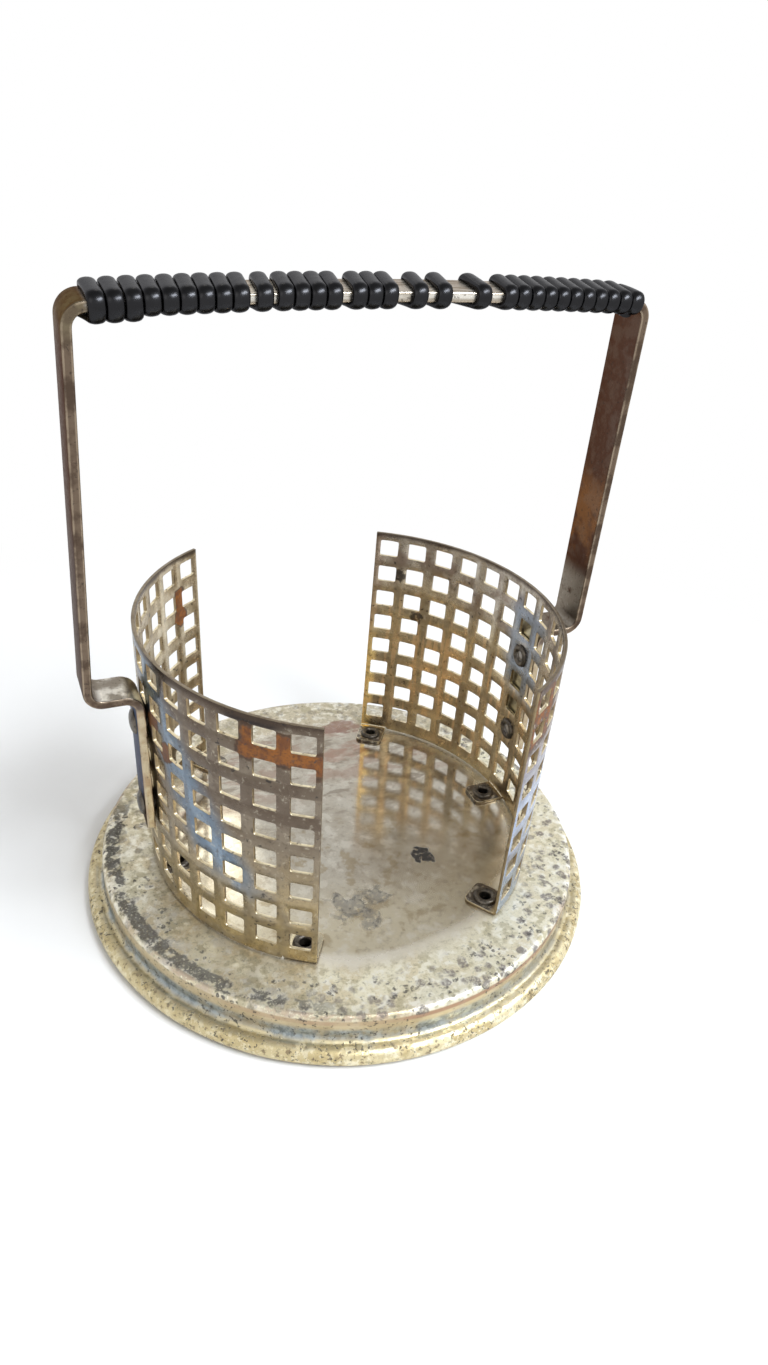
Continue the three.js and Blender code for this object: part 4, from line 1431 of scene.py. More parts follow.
def pit_masks(p, at, x, y, radius, fine, grain):
    """Soft pits, and dark pits with the dark crust along the left shoulder, each from 0 to 1."""
    stirred = p.stirred(at, 1.5, 1.3)
    near_edge = p.ramp(radius, 53, 60, 0, 0.07)
    grouped = p.ramp(p.math("ADD", p.noise(at, 7, 3, 0.6), near_edge), 0.41, 0.50)
    right = p.times(p.ramp(x, -50, 4, 0.5, 1.0), p.ramp(y, 42, 20, 0.45, 1))
    ring = p.ramp(radius, 46, 54)
    broken = p.ramp(p.noise(at, 0.8, 3, 0.7), 0.40, 0.52, 0.45, 1)
    soft = p.times(ring, right, grouped, p.ramp(p.cells(stirred, 3.0), 0.47, 0.30), broken)
    small = p.times(p.ramp(p.noise(at, 5, 3, 0.6), 0.47, 0.55), p.ramp(p.cells(stirred, 1.5), 0.42, 0.26))
    small = p.times(small, p.ramp(y, 42, 20, 0.45, 1))
    dark = p.times(ring, small, p.ramp(grain, 0.36, 0.52))
    outline = p.math("MULTIPLY_ADD", fine, 3.0, p.math("SUBTRACT", radius, 1.5))
    chunks = p.ramp(p.noise(at, 4.5, 3, 0.6), 0.42, 0.50)
    crust = p.times(p.band(outline, 57.0, 60.3, 0.35), p.ramp(x, -10, -34), p.ramp(y, 34, 20), chunks)
    crust = p.times(crust, p.ramp(grain, 0.30, 0.44))
    return soft, p.largest(dark, crust)


def scuff_masks(p, at):
    """The dark worn patch, and the grey patches with their dark edges, on the floor."""
    torn = p.noise(at, 1.3, 5, 0.75)
    black = p.times(p.spot(at, BLACK_SCUFF, 3.0, 1.2, 2.4), p.ramp(torn, 0.40, 0.46))
    grey, rims = [], []
    for centre, radius in GREY_SCUFFS:
        away = p.wobbling_distance(at, centre, radius, 1.5, 2.6)
        grey.append(p.times(p.ramp(away, 0.80 * radius, 1.05 * radius, 1.0, 0.0), p.ramp(torn, 0.38, 0.50)))
        rims.append(p.times(p.band(away, 0.70 * radius, 1.05 * radius, 0.2), p.ramp(torn, 0.50, 0.56)))
    return black, p.largest(*grey), p.largest(*rims)


def dish_plate():
    """Yellowed plate: satin between the galleries, mottled and pitted towards the rim."""
    p = Paint("dish_plate")
    at = p.place()
    x, y, z = p.split(at)
    facing_up = p.split(p.facing())[2]
    radius = p.from_axis(x, y)
    broad = p.noise(at, 24, 3)
    patch = p.noise(at, 7, 4, 0.6)
    fine = p.noise(at, 1.7, 5, 0.65)
    grain = p.noise(at, 0.55, 3, 0.7)
    noises = (broad, patch, fine, grain)
    reach = p.math("ADD", radius, p.math("MULTIPLY_ADD", broad, 8.0, -4.0))
    inside = p.ramp(reach, 50, 43)
    low = p.ramp(z, 10.7, 10.0)
    top = p.ramp(z, 9.6, 10.3)
    above = p.ramp(facing_up, 0.2, 0.6)
    soft, dark = pit_masks(p, at, x, y, radius, fine, grain)
    drawn_out = p.scaled(at, (0.5, 1, 1))
    stains = []
    for centre, strength, tint in FLOOR_STAINS:
        spot = p.spot(drawn_out, centre, 3.6, 1.0, 3)
        stains.append((p.times(spot, p.ramp(patch, 0.34, 0.5), top, strength), tint))
    black, grey, rims = [p.times(mask, above) for mask in scuff_masks(p, at)]
    specks = p.times(low, p.ramp(p.noise(at, 0.95, 3, 0.65), 0.575, 0.62), p.ramp(patch, 0.38, 0.52))
    dark = p.largest(p.times(dark, top, 0.85), black, p.times(rims, 0.6), p.times(specks, 0.8))
    shade = p.coats(
        ledge_paint(p, x, y, radius, noises),
        (inside, floor_paint(p, at, y, radius, patch, fine)),
        (low, side_paint(p, x, z, radius, noises)),
        (p.times(soft, top, 0.85), p.colours.soft_pits),
        *stains,
        (p.times(grey, 0.65), SCUFF_GREY),
        (dark, p.colours.pits),
        # Painted shade: darker where the sheet faces down.
        (p.times(p.ramp(facing_up, -0.2, -0.7), 0.6), SHADED_UNDERSIDE),
    )
    roughness = p.mix_numbers(inside, p.ramp(fine, 0.35, 0.65, 0.46, 0.32), p.ramp(y, -34, 4, 0.27, 0.10))
    roughness = p.math("MULTIPLY_ADD", p.largest(dark, grey, soft), 0.22, roughness)
    ledge_metal = p.mix_numbers(p.largest(inside, low), p.ramp(x, -42, 6, 0.8, 0.5), 0.92)
    metallic = p.times(ledge_metal, p.math("MULTIPLY_ADD", p.largest(dark, soft), -0.75, 1.0))
    relief = p.mix_numbers(inside, p.math("MULTIPLY_ADD", grain, 0.45, fine), p.times(patch, 0.10))
    relief = p.math("SUBTRACT", relief, p.times(p.largest(dark, p.times(soft, 0.5)), 0.5))
    return p.finish(shade, roughness, metallic, relief, 0.11)


# The galleries' finish: tints, and where the large marks lie, as (arc length, height) in millimetres

LEFT_TAN = (0.27, 0.225, 0.17)
# Painted shade on the horizontal bars between the upper rows of holes.
SHADED_BARS = (0.10, 0.072, 0.052)
# Painted blue-grey reflection across the left gallery's outside: its broad band and its bluer core.
SLATE_REFLECTION = (0.15, 0.195, 0.25)
BLUE_REFLECTION = (0.235, 0.30, 0.375)
SOOT = (0.025, 0.02, 0.02)
BEIGE = (0.48, 0.40, 0.28)
TAN = (0.36, 0.28, 0.17)
PALE_STREAKS = (0.70, 0.60, 0.42)
LIGHT_GOLD = (0.54, 0.43, 0.26)
DEEP_GOLD = (0.35, 0.28, 0.18)
ORANGE_GLINT = (0.84, 0.58, 0.31)
SILVER_GREY = (0.48, 0.43, 0.36)
SILVER_BROWN = (0.27, 0.21, 0.17)
ZONE_BLUE = (0.25, 0.29, 0.35)
# Painted gold highlight on the lower part of the end strip.
END_STRIP_HIGHLIGHT = (1.0, 0.76, 0.34)
END_BROWN = (0.34, 0.25, 0.19)
FRONT_BLUE = (0.36, 0.43, 0.58)
FRONT_BROWN = (0.23, 0.14, 0.09)
OUTSIDE_UMBER = (0.19, 0.145, 0.115)
TAB_DARK = (0.135, 0.115, 0.095)
TAB_FLECKS = (0.42, 0.38, 0.31)
TAB_PALE = (0.60, 0.53, 0.38)
GRIME = (0.09, 0.07, 0.052)
PALE_FLECKS = (0.74, 0.68, 0.54)
TOP_EDGE = (0.075, 0.055, 0.042)
RUST_CRACKS = (0.065, 0.024, 0.010)
RUST_RIM = (0.05, 0.028, 0.016)
# Painted shade on cut edges that face down.
SHADED_EDGE_UNDER = (0.24, 0.18, 0.11)
EDGE_TOP = (0.16, 0.12, 0.085)
# A point on the painted reflection's band, in millimetres, and the direction across the band.
REFLECTION_START = (10, 68)
REFLECTION_ACROSS = (0.829, 0.559)
# The left gallery's rusted patches outside: from and to along the sheet, and from and to up it.
RUST_PATCHES = (
    ((34.6, 46.8), (65.8, 73.4)),
    ((34.0, 53.0), (65.6, 69.8)),
    ((47.4, 53), (64.2, 67)),
)
RUST_SOFT = 0.8
RUST_BY_STRAP = (((6.5, 59.5, 0), 3.0), ((12, 55, 0), 2.8))
RUST_DROP = (-44, 59.5, 0)
RUST_CORNER = (47.5, 70, 0)
INSIDE_MARKS = (((44, 64, 0), 0.8), ((38, 52, 0), 1.0))

SheetPlaces = namedtuple("SheetPlaces", "gallery place along height broad patch fine streak")


def left_outside(p, on):
    """Brown-grey at the top, gold at the foot, with painted shade on the upper horizontal bars and a painted
    blue-grey reflection across.
    """
    pitch = on.gallery.sizes.row_pitch / MM
    top_row = on.gallery.rivet_height(0) / MM
    # Painted shade: the horizontal bars between the upper rows of holes are darker than the uprights, more so
    # higher up.
    from_row = p.math("PINGPONG", p.math("SUBTRACT", on.height, top_row), pitch / 2)
    bars = p.times(p.ramp(from_row, 2.1, 2.7), p.ramp(on.height, 34, 60), 0.55)
    # A painted blue-grey reflection in a slanting band across the sheet, with a bluer core, above the lower
    # rows.
    across = p.math("ADD", *[
        p.times(p.math("SUBTRACT", value, start), share)
        for value, start, share in zip((on.along, on.height), REFLECTION_START, REFLECTION_ACROSS)
    ])
    reflection_above = p.ramp(on.height, 24, 36)
    wide = p.times(p.band(across, -9, 3, 3), p.ramp(on.patch, 0.3, 0.55, 0.6, 1.0), reflection_above)
    core = p.times(p.band(across, -4.2, -0.4, 1.0), p.ramp(on.streak, 0.40, 0.56), reflection_above, 0.8)
    return p.coats(
        p.mix(p.ramp(on.height, 54, 16), p.colours.taupe, p.colours.gold),
        (p.ramp(on.patch, 0.42, 0.62, 0, 0.6), LEFT_TAN),
        (bars, SHADED_BARS),
        (wide, SLATE_REFLECTION),
        (core, BLUE_REFLECTION),
        (p.times(p.band(on.along, 31, 43, 2.5), p.ramp(on.height, 72.8, 74.6)), SOOT),
    )


def left_inside(p, on):
    """Beige and tan, with lighter upright streaks."""
    shade = p.mix(p.ramp(on.patch, 0.36, 0.62), BEIGE, TAN)
    return p.mix(p.ramp(on.streak, 0.5, 0.66, 0, 0.5), shade, PALE_STREAKS)


def right_inside(p, on):
    """Silver-grey at the top and gold below, with orange glints, a blue-grey zone and a painted highlight on
    the end strip's lower part.
    """
    gold = p.mix(p.ramp(on.patch, 0.42, 0.64), LIGHT_GOLD, DEEP_GOLD)
    glints = p.times(p.ramp(on.streak, 0.50, 0.60), p.band(on.height, 16, 58, 6), 0.6)
    gold = p.mix(glints, gold, ORANGE_GLINT)
    silver = p.mix(p.ramp(on.patch, 0.42, 0.60), SILVER_GREY, SILVER_BROWN)
    level = p.math("MULTIPLY_ADD", on.broad, 22, p.math("SUBTRACT", on.height, 11))
    blue = p.times(p.band(on.along, -11, 6, 3), p.band(on.height, 46, 71, 4))
    end_strip = p.ramp(on.along, 48.2, 49.6)
    return p.coats(
        p.mix(p.ramp(level, 52, 68), gold, silver),
        (p.times(blue, p.ramp(on.patch, 0.3, 0.5, 0.45, 0.9)), ZONE_BLUE),
        # Painted highlight: bright gold on the end strip's lower part.
        (p.times(end_strip, p.ramp(on.height, 50, 36)), END_STRIP_HIGHLIGHT),
        (p.times(end_strip, p.ramp(on.height, 44, 60), 0.6), END_BROWN),
    )


def right_outside(p, on):
    """Blue-grey below and brown above at the front end, and gold-brown further round."""
    front_end = p.mix(p.ramp(on.height, 40, 66), FRONT_BLUE, FRONT_BROWN)
    further_round = p.mix(p.ramp(on.height, 58, 18), p.colours.taupe, p.colours.gold)
    reached = p.math("MULTIPLY_ADD", on.broad, 36, on.along)
    shade = p.mix(p.ramp(reached, -18, 2), front_end, further_round)
    return p.mix(p.ramp(on.patch, 0.45, 0.62, 0, 0.5), shade, OUTSIDE_UMBER)


GALLERY_PAINTS = {
    ("left", "outside"): left_outside,
    ("left", "inside"): left_inside,
    ("right", "inside"): right_inside,
    ("right", "outside"): right_outside,
}


def tab_paint(p, on):
    """The tabs on the floor: dark and specked, but pale on the left gallery's front tab."""
    tab = p.mix(p.ramp(on.fine, 0.50, 0.62), TAB_DARK, TAB_FLECKS)
    if on.gallery.name == "left":
        tab = p.mix(p.ramp(on.along, 38, 40), tab, TAB_PALE)
    return tab


def rust_mask(p, on, face):
    """Where a gallery's plate is gone and the steel has rusted."""
    wobble = p.math("MULTIPLY_ADD", p.noise(on.place, 2.6, 3), 2.8, -1.4)
    u, v = p.math("ADD", on.along, wobble), p.math("ADD", on.height, wobble)
    if on.gallery.name == "left" and face == "outside":
        patches = [
            p.times(p.band(u, *reach, RUST_SOFT), p.band(v, *rise, RUST_SOFT)) for reach, rise in RUST_PATCHES
        ]
        beside_strap = p.largest(*[p.spot(on.place, centre, radius) for centre, radius in RUST_BY_STRAP])
        return p.largest(*patches, p.times(beside_strap, 0.9))
    if on.gallery.name == "left":
        upright = p.times(p.band(u, -45.6, -42.0, 0.4), p.band(v, 59.5, 67.6, 0.5))
        return p.largest(upright, p.spot(on.place, RUST_DROP, 2.6))
    if face == "outside":
        return p.times(p.ramp(u, -39, -43), p.band(v, 60, 75, 2), p.ramp(on.fine, 0.34, 0.52))
    return p.times(p.spot(on.place, RUST_CORNER, 0.8), 0.4)


def gallery_plate(gallery, face):
    """Tarnished plate on a gallery's sheet, with its own stains on each gallery and each face."""
    p = Paint(f"gallery_plate_{gallery.name}_{face}")
    at = p.place()
    place = p.stored("sheet_place")
    along, height, outside = p.split(place)
    patch = p.noise(at, 8, 4, 0.6)
    fine = p.noise(at, 1.3, 5, 0.65)
    streak = p.noise(p.scaled(place, (1, 0.10, 0)), 2.6, 3)
    on = SheetPlaces(gallery, place, along, height, p.noise(at, 26, 3), patch, fine, streak)
    rusty = rust_mask(p, on, face)
    rust = p.coats(
        p.colours.rust,
        (p.ramp(p.noise(at, 2.2, 4), 0.40, 0.60, 0, 0.75), p.colours.dark_rust),
        (p.ramp(p.noise(at, 0.7, 4, 0.7), 0.50, 0.62, 0, 0.6), RUST_CRACKS),
    )
    level = p.joined(along, height)
    specks = p.times(p.ramp(p.noise(level, 1.6, 2, 0.6), 0.62, 0.68), p.ramp(patch, 0.42, 0.6))
    if (gallery.name, face) == ("right", "inside"):
        marks = p.largest(*[p.spot(level, centre, 1.9, ragged) for centre, ragged in INSIDE_MARKS])
        specks = p.largest(specks, p.times(marks, p.ramp(fine, 0.36, 0.46)))
    shade = p.coats(
        GALLERY_PAINTS[gallery.name, face](p, on),
        (p.ramp(fine, 0.52, 0.70, 0, 0.5), GRIME),
        (p.times(p.ramp(fine, 0.42, 0.34), 0.25), PALE_FLECKS),
        (p.ramp(p.math("MULTIPLY_ADD", patch, 2.0, height), 75.3, 76.6, 0, 0.9), TOP_EDGE),
        (p.ramp(outside, -1.1, -1.7), tab_paint(p, on)),
        (rusty, rust),
        (p.times(rusty, p.math("SUBTRACT", 1.0, rusty), 3.2), RUST_RIM),
        (p.times(specks, 0.85), p.colours.pits),
    )
    roughness = p.math("MULTIPLY_ADD", p.math("SUBTRACT", patch, 0.5), 0.3, 0.28)
    roughness = p.math("MULTIPLY_ADD", rusty, 0.36, roughness)
    metallic = p.math("MULTIPLY_ADD", rusty, -0.85, 0.95)
    relief = p.math("ADD", p.times(fine, 0.35), p.times(rusty, p.noise(at, 0.8, 4)))
    return p.finish(shade, roughness, metallic, relief, 0.08)


def cut_edge():
    """Cut metal round the holes, painted bright where it faces up as a highlight and painted darker where it
    doesn't as shade.
    """
    p = Paint("cut_edge")
    c = p.colours
    at = p.place()
    z = p.split(at)[2]
    worn = p.noise(at, 3, 4)
    up = p.split(p.facing())[2]
    shade = p.coats(
        # Painted highlight where the edge faces up, painted shade where it faces down.
        p.mix(p.ramp(up, -0.1, 0.6), SHADED_EDGE_UNDER, c.cut_edge),
        (p.ramp(worn, 0.48, 0.64, 0, 0.6), c.gold),
        (p.ramp(p.noise(at, 0.9, 3), 0.58, 0.68, 0, 0.8), c.taupe),
        (p.ramp(z, 75.2, 75.8, 0, 0.85), EDGE_TOP),
    )
    roughness = p.ramp(worn, 0.3, 0.7, 0.28, 0.5)
    return p.finish(shade, roughness, 0.9, p.noise(at, 0.6, 3), 0.04)


# The strap's finish

LEG_MAUVE = (0.115, 0.105, 0.115)
LEG_MAROON = (0.088, 0.052, 0.042)
LEG_RUSTY = (0.205, 0.098, 0.045)
LEG_PALE = (0.36, 0.33, 0.28)
LEG_OLIVE = (0.24, 0.19, 0.115)
LEG_CLOUDS = (0.19, 0.15, 0.12)
SHELF_WHITE = (0.74, 0.71, 0.65)
SHELF_BROWN = (0.30, 0.27, 0.23)
# Painted reflection on the strap's outer face below the shelf: blue above, black below.
FOOT_BLUE_REFLECTION = (0.15, 0.225, 0.36)
FOOT_DARK_REFLECTION = (0.05, 0.05, 0.055)
FOOT_GOLD = (0.55, 0.50, 0.34)
FOOT_MOSS = (0.34, 0.31, 0.22)
FOOT_TAN = (0.50, 0.42, 0.29)
FOOT_BROWN = (0.37, 0.27, 0.17)
FRONT_DARK = (0.095, 0.066, 0.048)
FRONT_LIGHT = (0.17, 0.125, 0.09)
CORNER_OLIVE = (0.20, 0.165, 0.105)
BAR_SHADOW = (0.50, 0.46, 0.39)
BAR_UNDER = (0.33, 0.28, 0.21)
STRAP_SPECKS = (0.05, 0.04, 0.035)
# Painted highlight along the strap's rounded long edges.
EDGE_HIGHLIGHT = (0.42, 0.34, 0.25)
STRAP_GLANCING = (0.38, 0.31, 0.27, 1)


def leg_paint(p, x, z, outer_face, inner_face, patch):
    """The strap's legs: mauve outside and olive inside on the left, copper-brown inside on the right."""
    on_left, on_right = p.ramp(x, 0, -1), p.ramp(x, 0, 1)
    left_outer = p.mix(p.ramp(z, 98, 112), LEG_MAUVE, LEG_MAROON)
    right_inner = p.times(inner_face, on_right)
    rusty = p.times(right_inner, p.ramp(p.noise(p.place(), 9, 3), 0.40, 0.54), p.band(z, 85, 104, 5), 0.9)
    pale = p.times(right_inner, p.band(z, 64, 80, 3), p.ramp(patch, 0.34, 0.50))
    left_inner = p.times(inner_face, on_left, p.ramp(z, 69, 71))
    return p.coats(
        p.mix(p.times(outer_face, on_left), p.colours.strap, left_outer),
        (p.times(right_inner, p.ramp(patch, 0.32, 0.54, 0.55, 1)), p.colours.copper),
        (rusty, LEG_RUSTY),
        (p.times(pale, 0.85), LEG_PALE),
        (p.times(left_inner, p.ramp(patch, 0.36, 0.6)), LEG_OLIVE),
    )


def foot_coats(p, x, z, across, outer_face, inner_face, patch):
    """The shelf's whitish top, and the stretch below it that lies along a gallery, with a painted blue and
    black reflection on its outer face.
    """
    shelf_top = p.times(p.band(z, 64.5, 67.5, 0.6), inner_face, p.ramp(x, -50, -52))
    below = p.ramp(z, 62.5, 61.0)
    # A painted reflection on the outer face below the shelf, blue above and black below, with an uneven line
    # between.
    uneven_height = p.math("MULTIPLY_ADD", patch, 26.0, p.math("SUBTRACT", z, 13.0))
    behind_holes = p.times(p.ramp(z, 66.0, 64.5), p.ramp(p.math("ABSOLUTE", x), 53.5, 52.0), inner_face)
    front_edge = p.times(below, p.ramp(across, -4.2, -4.6))
    return (
        (shelf_top, p.mix(p.ramp(patch, 0.40, 0.58), SHELF_WHITE, SHELF_BROWN)),
        (p.times(below, outer_face), p.mix(p.ramp(uneven_height, 44, 34), FOOT_BLUE_REFLECTION, FOOT_DARK_REFLECTION)),
        (behind_holes, p.mix(p.ramp(patch, 0.4, 0.6), FOOT_GOLD, FOOT_MOSS)),
        (front_edge, p.mix(p.ramp(patch, 0.42, 0.62), FOOT_TAN, FOOT_BROWN)),
    )


def strap_plate():
    """Browned plate on the strap, by stretch and face, with painted highlights along the rounded edges and
    bare metal on top.
    """
    p = Paint("strap_plate")
    at = p.place()
    x, _, z = p.split(at)
    along, across, outward = p.split(p.stored("strap_place"))
    patch = p.noise(at, 5, 4, 0.6)
    fine = p.noise(at, 0.9, 5, 0.65)
    drawn = p.noise(p.joined(p.times(along, 0.08), across, outward), 0.8, 3)
    outer_face = p.ramp(outward, 0.80, 0.93)
    inner_face = p.ramp(outward, -0.80, -0.93)
    corner = p.times(p.ramp(z, 137, 143), p.ramp(x, -53, -56))
    bar_under = p.times(p.ramp(across, -4.3, -4.7), p.ramp(outward, 0.1, -0.5), 0.8)
    brushed = p.mix(bar_under, p.mix(p.ramp(drawn, 0.44, 0.6), p.colours.bare, BAR_SHADOW), BAR_UNDER)
    # Painted highlight along the rounded long edges, broken up by noise.
    corner_line = p.ramp(p.math("ABSOLUTE", across), 4.50, 4.70)
    edge_highlight = p.times(corner_line, p.band(p.math("ABSOLUTE", outward), 0.55, 0.90, 0.1))
    shade = p.coats(
        leg_paint(p, x, z, outer_face, inner_face, patch),
        (p.ramp(patch, 0.46, 0.64, 0, 0.25), LEG_CLOUDS),
        *foot_coats(p, x, z, across, outer_face, inner_face, patch),
        (
            p.times(p.ramp(across, -4.45, -4.75), p.ramp(z, 62, 64)),
            p.mix(p.ramp(patch, 0.42, 0.60), FRONT_DARK, FRONT_LIGHT),
        ),
        (p.times(corner, p.ramp(patch, 0.36, 0.56, 0.4, 1)), CORNER_OLIVE),
        (p.times(p.ramp(z, 142, 143.2), p.band(x, -54, 54, 1)), brushed),
        (p.times(p.ramp(p.noise(at, 0.8, 3, 0.7), 0.61, 0.67), 0.7), STRAP_SPECKS),
        (p.times(edge_highlight, p.ramp(patch, 0.36, 0.58), 0.6), EDGE_HIGHLIGHT),
    )
    roughness = p.math("MULTIPLY_ADD", p.math("SUBTRACT", fine, 0.5), 0.4, 0.34)
    relief = p.math("ADD", p.times(drawn, 0.6), p.times(fine, 0.4))
    p.shader.inputs["Specular Tint"].default_value = STRAP_GLANCING
    return p.finish(shade, roughness, 0.97, relief, 0.05)


# The fasteners' and the cane's finish

CORE_GREY = (0.46, 0.44, 0.42)
CORE_BROWN = (0.24, 0.22, 0.19)
EYELET_BROWN = (0.15, 0.13, 0.105)
EYELET_RUBBED = (0.36, 0.32, 0.26)
CANE_DUST = (0.09, 0.087, 0.085)
CANE_DEEP = (0.024, 0.024, 0.026)
CANE_GLANCING = (0.60, 0.60, 0.61, 1)


def eyelet_metal(kind):
    """Dark, dull metal with rubbed rims; the core of a rivet's hollow end is lighter."""
    p = Paint(f"{kind}_metal")
    at = p.place()
    patch = p.noise(at, 1.6, 4)
    fine = p.noise(at, 0.4, 4)
    if kind == "core":
        shade = p.mix(p.ramp(patch, 0.40, 0.62), CORE_GREY, CORE_BROWN)
    else:
        shade = p.mix(p.ramp(patch, 0.38, 0.64), p.colours.dark_eyelet, EYELET_BROWN)
        shade = p.mix(p.ramp(fine, 0.60, 0.72, 0, 0.6), shade, EYELET_RUBBED)
    roughness = p.ramp(fine, 0.3, 0.7, 0.26, 0.46)
    return p.finish(shade, roughness, 0.9, p.math("ADD", patch, fine), 0.06)


def black_cane():
    """Glossy black plastic with a little dust and soft unevenness."""
    p = Paint("black_cane")
    at = p.place()
    soft = p.noise(at, 5, 3)
    dust = p.times(p.ramp(p.noise(at, 0.35, 2, 0.7), 0.66, 0.74), p.ramp(soft, 0.4, 0.6))
    shade = p.coats(
        p.colours.cane,
        (p.times(dust, 0.4), CANE_DUST),
        (p.ramp(soft, 0.4, 0.65, 0, 0.5), CANE_DEEP),
    )
    roughness = p.math("MULTIPLY_ADD", p.noise(at, 1.2, 4), 0.12, 0.22)
    relief = p.math("ADD", p.noise(at, 2.4, 2), p.times(p.noise(at, 0.5, 3), 0.2))
    p.shader.inputs["Specular Tint"].default_value = CANE_GLANCING
    return p.finish(shade, roughness, 1.0, relief, 0.03)


# The stage

# Each lamp's place, its width and height, and its tint.
LAMPS = {
    "key": ((-0.50, -0.42, 0.62), (0.42, 0.42), (1.0, 0.97, 0.92)),
    "fill": ((0.55, -0.22, 0.72), (0.60, 0.28), (0.90, 0.95, 1.0)),
    "back": ((0.10, 0.62, 0.64), (0.10, 0.16), (1.0, 0.97, 0.82)),
    "glint": ((0.36, -0.48, 0.80), (0.62, 0.22), (0.90, 0.95, 1.0)),
}
WHITE = (1, 1, 1, 1)
# The background dims between these heights of the line of sight, and this is what is left of it.
DIMS_FROM = 0.42
DIMS_TO = 0.95
DIMMED = 0.4
# The pale floor, in metres, and the corners of its round edge.
GROUND_RADIUS = 4
GROUND_STEPS = 96


def seen_directly(nodes, links):
    """A socket that is one for rays from the camera, from mirrors and through glass."""
    paths = nodes.new("ShaderNodeLightPath")
    total = paths.outputs["Is Camera Ray"]
    for name in ("Is Glossy Ray", "Is Transmission Ray"):
        largest = nodes.new("ShaderNodeMath")
        largest.operation = "MAXIMUM"
        links.new(total, largest.inputs[0])
        links.new(paths.outputs[name], largest.inputs[1])
        total = largest.outputs[0]
    return total


def make_world(stage):
    """Soft room light, and a pale background that dims overhead."""
    world = bpy.data.worlds.new("studio")
    bpy.context.scene.world = world
    world.use_nodes = True
    nodes, links = world.node_tree.nodes, world.node_tree.links
    room = nodes["Background"]
    room.inputs["Color"].default_value = WHITE
    room.inputs["Strength"].default_value = stage.ambient
    seen = nodes.new("ShaderNodeBackground")
    seen.inputs["Color"].default_value = WHITE
    direction = nodes.new("ShaderNodeTexCoord")
    split = nodes.new("ShaderNodeSeparateXYZ")
    links.new(direction.outputs["Generated"], split.inputs[0])
    overhead = nodes.new("ShaderNodeMapRange")
    overhead.interpolation_type = "SMOOTHSTEP"
    for socket, number in zip(overhead.inputs[1:5], (DIMS_FROM, DIMS_TO, 1.0, DIMMED)):
        socket.default_value = number
    links.new(split.outputs[2], overhead.inputs[0])
    links.new(overhead.outputs[0], seen.inputs["Strength"])
    mixed = nodes.new("ShaderNodeMixShader")
    links.new(seen_directly(nodes, links), mixed.inputs[0])
    links.new(room.outputs[0], mixed.inputs[1])
    links.new(seen.outputs[0], mixed.inputs[2])
    links.new(mixed.outputs[0], nodes["World Output"].inputs["Surface"])


def floor_finish(stage):
    """A pale floor that fades to white away from the object."""
    p = Paint("pale_floor")
    x, y, _ = p.split(p.place())
    far = p.ramp(p.from_axis(x, y), stage.fade_start / MM, stage.fade_end / MM)
    white = p.nodes.new("ShaderNodeEmission")
    mixed = p.nodes.new("ShaderNodeMixShader")
    p.put(mixed.inputs[0], p.times(far, seen_directly(p.nodes, p.links)))
    p.links.new(p.shader.outputs[0], mixed.inputs[1])
    p.links.new(white.outputs[0], mixed.inputs[2])
    p.links.new(mixed.outputs[0], p.nodes["Material Output"].inputs["Surface"])
    return p.finish(stage.floor_colour, 0.9, 0.0)


def add_lamp(name, place, size, power, tint):
    """A lamp of some width and height that looks at the middle of the object."""
    data = bpy.data.lights.new(name, "AREA")
    data.shape = "RECTANGLE"
    data.size, data.size_y = size
    data.energy = power
    data.color = tint
    lamp = bpy.data.objects.new(name, data)
    bpy.context.scene.collection.objects.link(lamp)
    lamp.location = place
    middle = (CAD_BOX[0] + CAD_BOX[1]) / 2
    lamp.rotation_euler = (middle - Vector(place)).to_track_quat("-Z", "Y").to_euler()


def add_camera(stage):
    """The camera that took the photograph, from its place, direction and roll."""
    azimuth, elevation, roll = stage.camera_azimuth, stage.camera_elevation, stage.camera_roll
    ahead = Vector((
        -math.sin(azimuth) * math.cos(elevation),
        math.cos(azimuth) * math.cos(elevation),
        -math.sin(elevation),
    ))
    level = Vector((math.cos(azimuth), math.sin(azimuth), 0))
    upright = level.cross(ahead)
    right = level * math.cos(roll) + upright * math.sin(roll)
    up = upright * math.cos(roll) - level * math.sin(roll)
    data = bpy.data.cameras.new("photo_camera")
    data.lens = stage.lens
    data.sensor_width = 36
    data.clip_start = 0.01
    camera = bpy.data.objects.new("photo_camera", data)
    bpy.context.scene.collection.objects.link(camera)
    turn = Matrix((right, up, -ahead)).transposed().to_4x4()
    camera.matrix_world = Matrix.Translation(stage.camera_place) @ turn
    bpy.context.scene.camera = camera


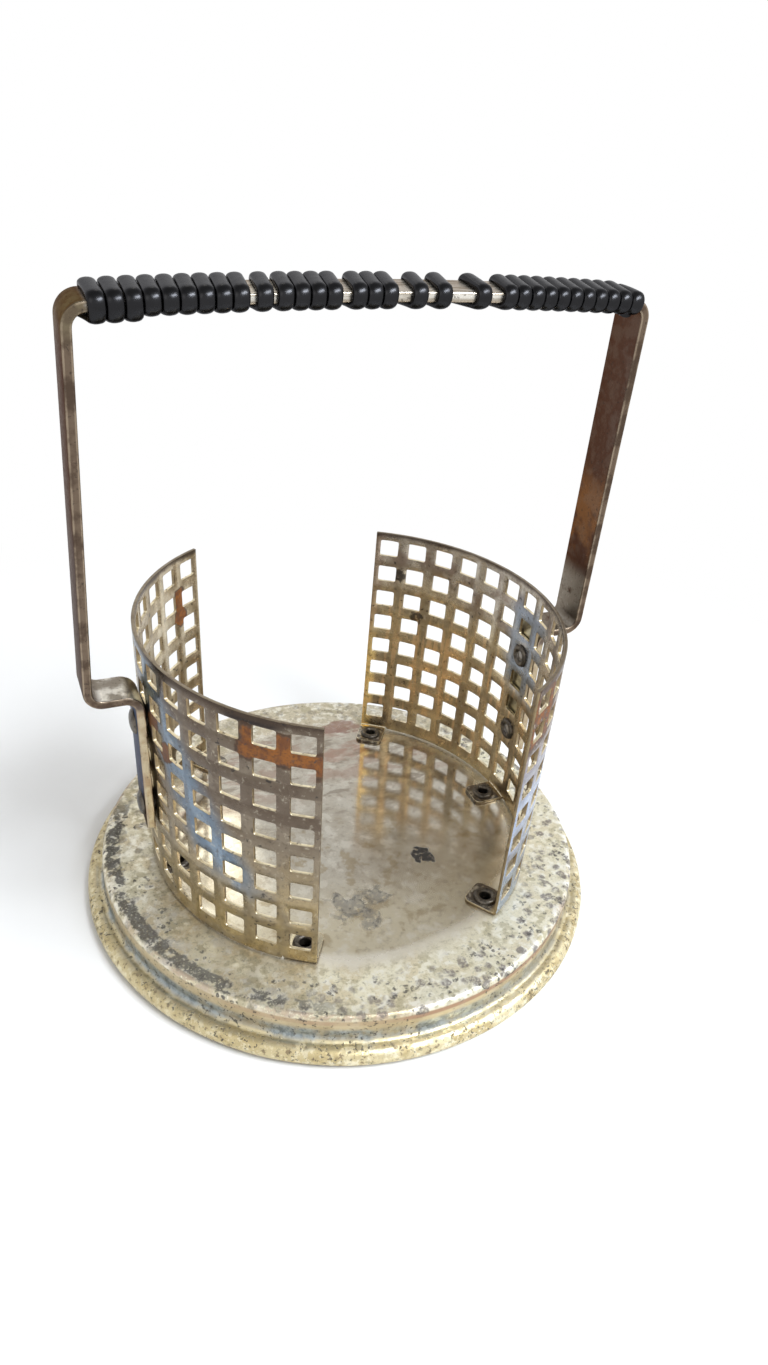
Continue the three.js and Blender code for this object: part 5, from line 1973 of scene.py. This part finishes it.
class HOLDER_OT_stage(bpy.types.Operator):
    """Builds the camera, the pale floor, the room's light and the lamps"""

    bl_idname = "holder.stage"
    bl_label = "Stage"

    def execute(self, context):
        stage = context.scene.holder_stage
        context.scene.view_settings.view_transform = "Standard"
        add_camera(stage)
        make_world(stage)
        turns = [Matrix.Rotation(2 * math.pi * k / GROUND_STEPS, 3, "Z") for k in range(GROUND_STEPS)]
        edge = [turn @ Vector((GROUND_RADIUS, 0, 0)) for turn in turns]
        floor = new_object("floor", edge, [list(range(GROUND_STEPS))])
        floor.data.materials.append(floor_finish(stage))
        for name, (place, size, tint) in LAMPS.items():
            add_lamp(name, place, size, getattr(stage, f"{name}_power"), tint)
        return {"FINISHED"}


class HOLDER_PT_panel(bpy.types.Panel):
    """Lists the holder's sizes and the steps that build it"""

    bl_idname = "HOLDER_PT_panel"
    bl_label = "Coaster holder"
    bl_space_type = "VIEW_3D"
    bl_region_type = "UI"
    bl_category = "Coaster holder"

    def draw(self, context):
        for name, group in SETTINGS.items():
            box = self.layout.box()
            box.label(text=group.__doc__)
            for field in group.__annotations__:
                box.prop(getattr(context.scene, name), field)
        for operator in OPERATORS:
            self.layout.operator(operator.bl_idname)


SETTINGS = {
    "holder_dish": DishSizes,
    "holder_gallery": GallerySizes,
    "holder_fasteners": FastenerSizes,
    "holder_strap": StrapSizes,
    "holder_cane": CaneSizes,
    "holder_finishes": Finishes,
    "holder_stage": StageSizes,
}
OPERATORS = (
    HOLDER_OT_dish,
    HOLDER_OT_galleries,
    HOLDER_OT_fasteners,
    HOLDER_OT_strap,
    HOLDER_OT_cane,
    HOLDER_OT_stage,
)


def register():
    for name, group in SETTINGS.items():
        bpy.utils.register_class(group)
        setattr(bpy.types.Scene, name, PointerProperty(type=group))
    for made in (*OPERATORS, HOLDER_PT_panel):
        bpy.utils.register_class(made)


def unregister():
    for made in (HOLDER_PT_panel, *reversed(OPERATORS)):
        bpy.utils.unregister_class(made)
    for name, group in reversed(SETTINGS.items()):
        delattr(bpy.types.Scene, name)
        bpy.utils.unregister_class(group)


def main():
    register()
    bpy.ops.holder.dish()
    bpy.ops.holder.galleries()
    bpy.ops.holder.fasteners()
    bpy.ops.holder.strap()
    bpy.ops.holder.cane()
    bpy.ops.holder.stage()


if __name__ == "__main__":
    main()
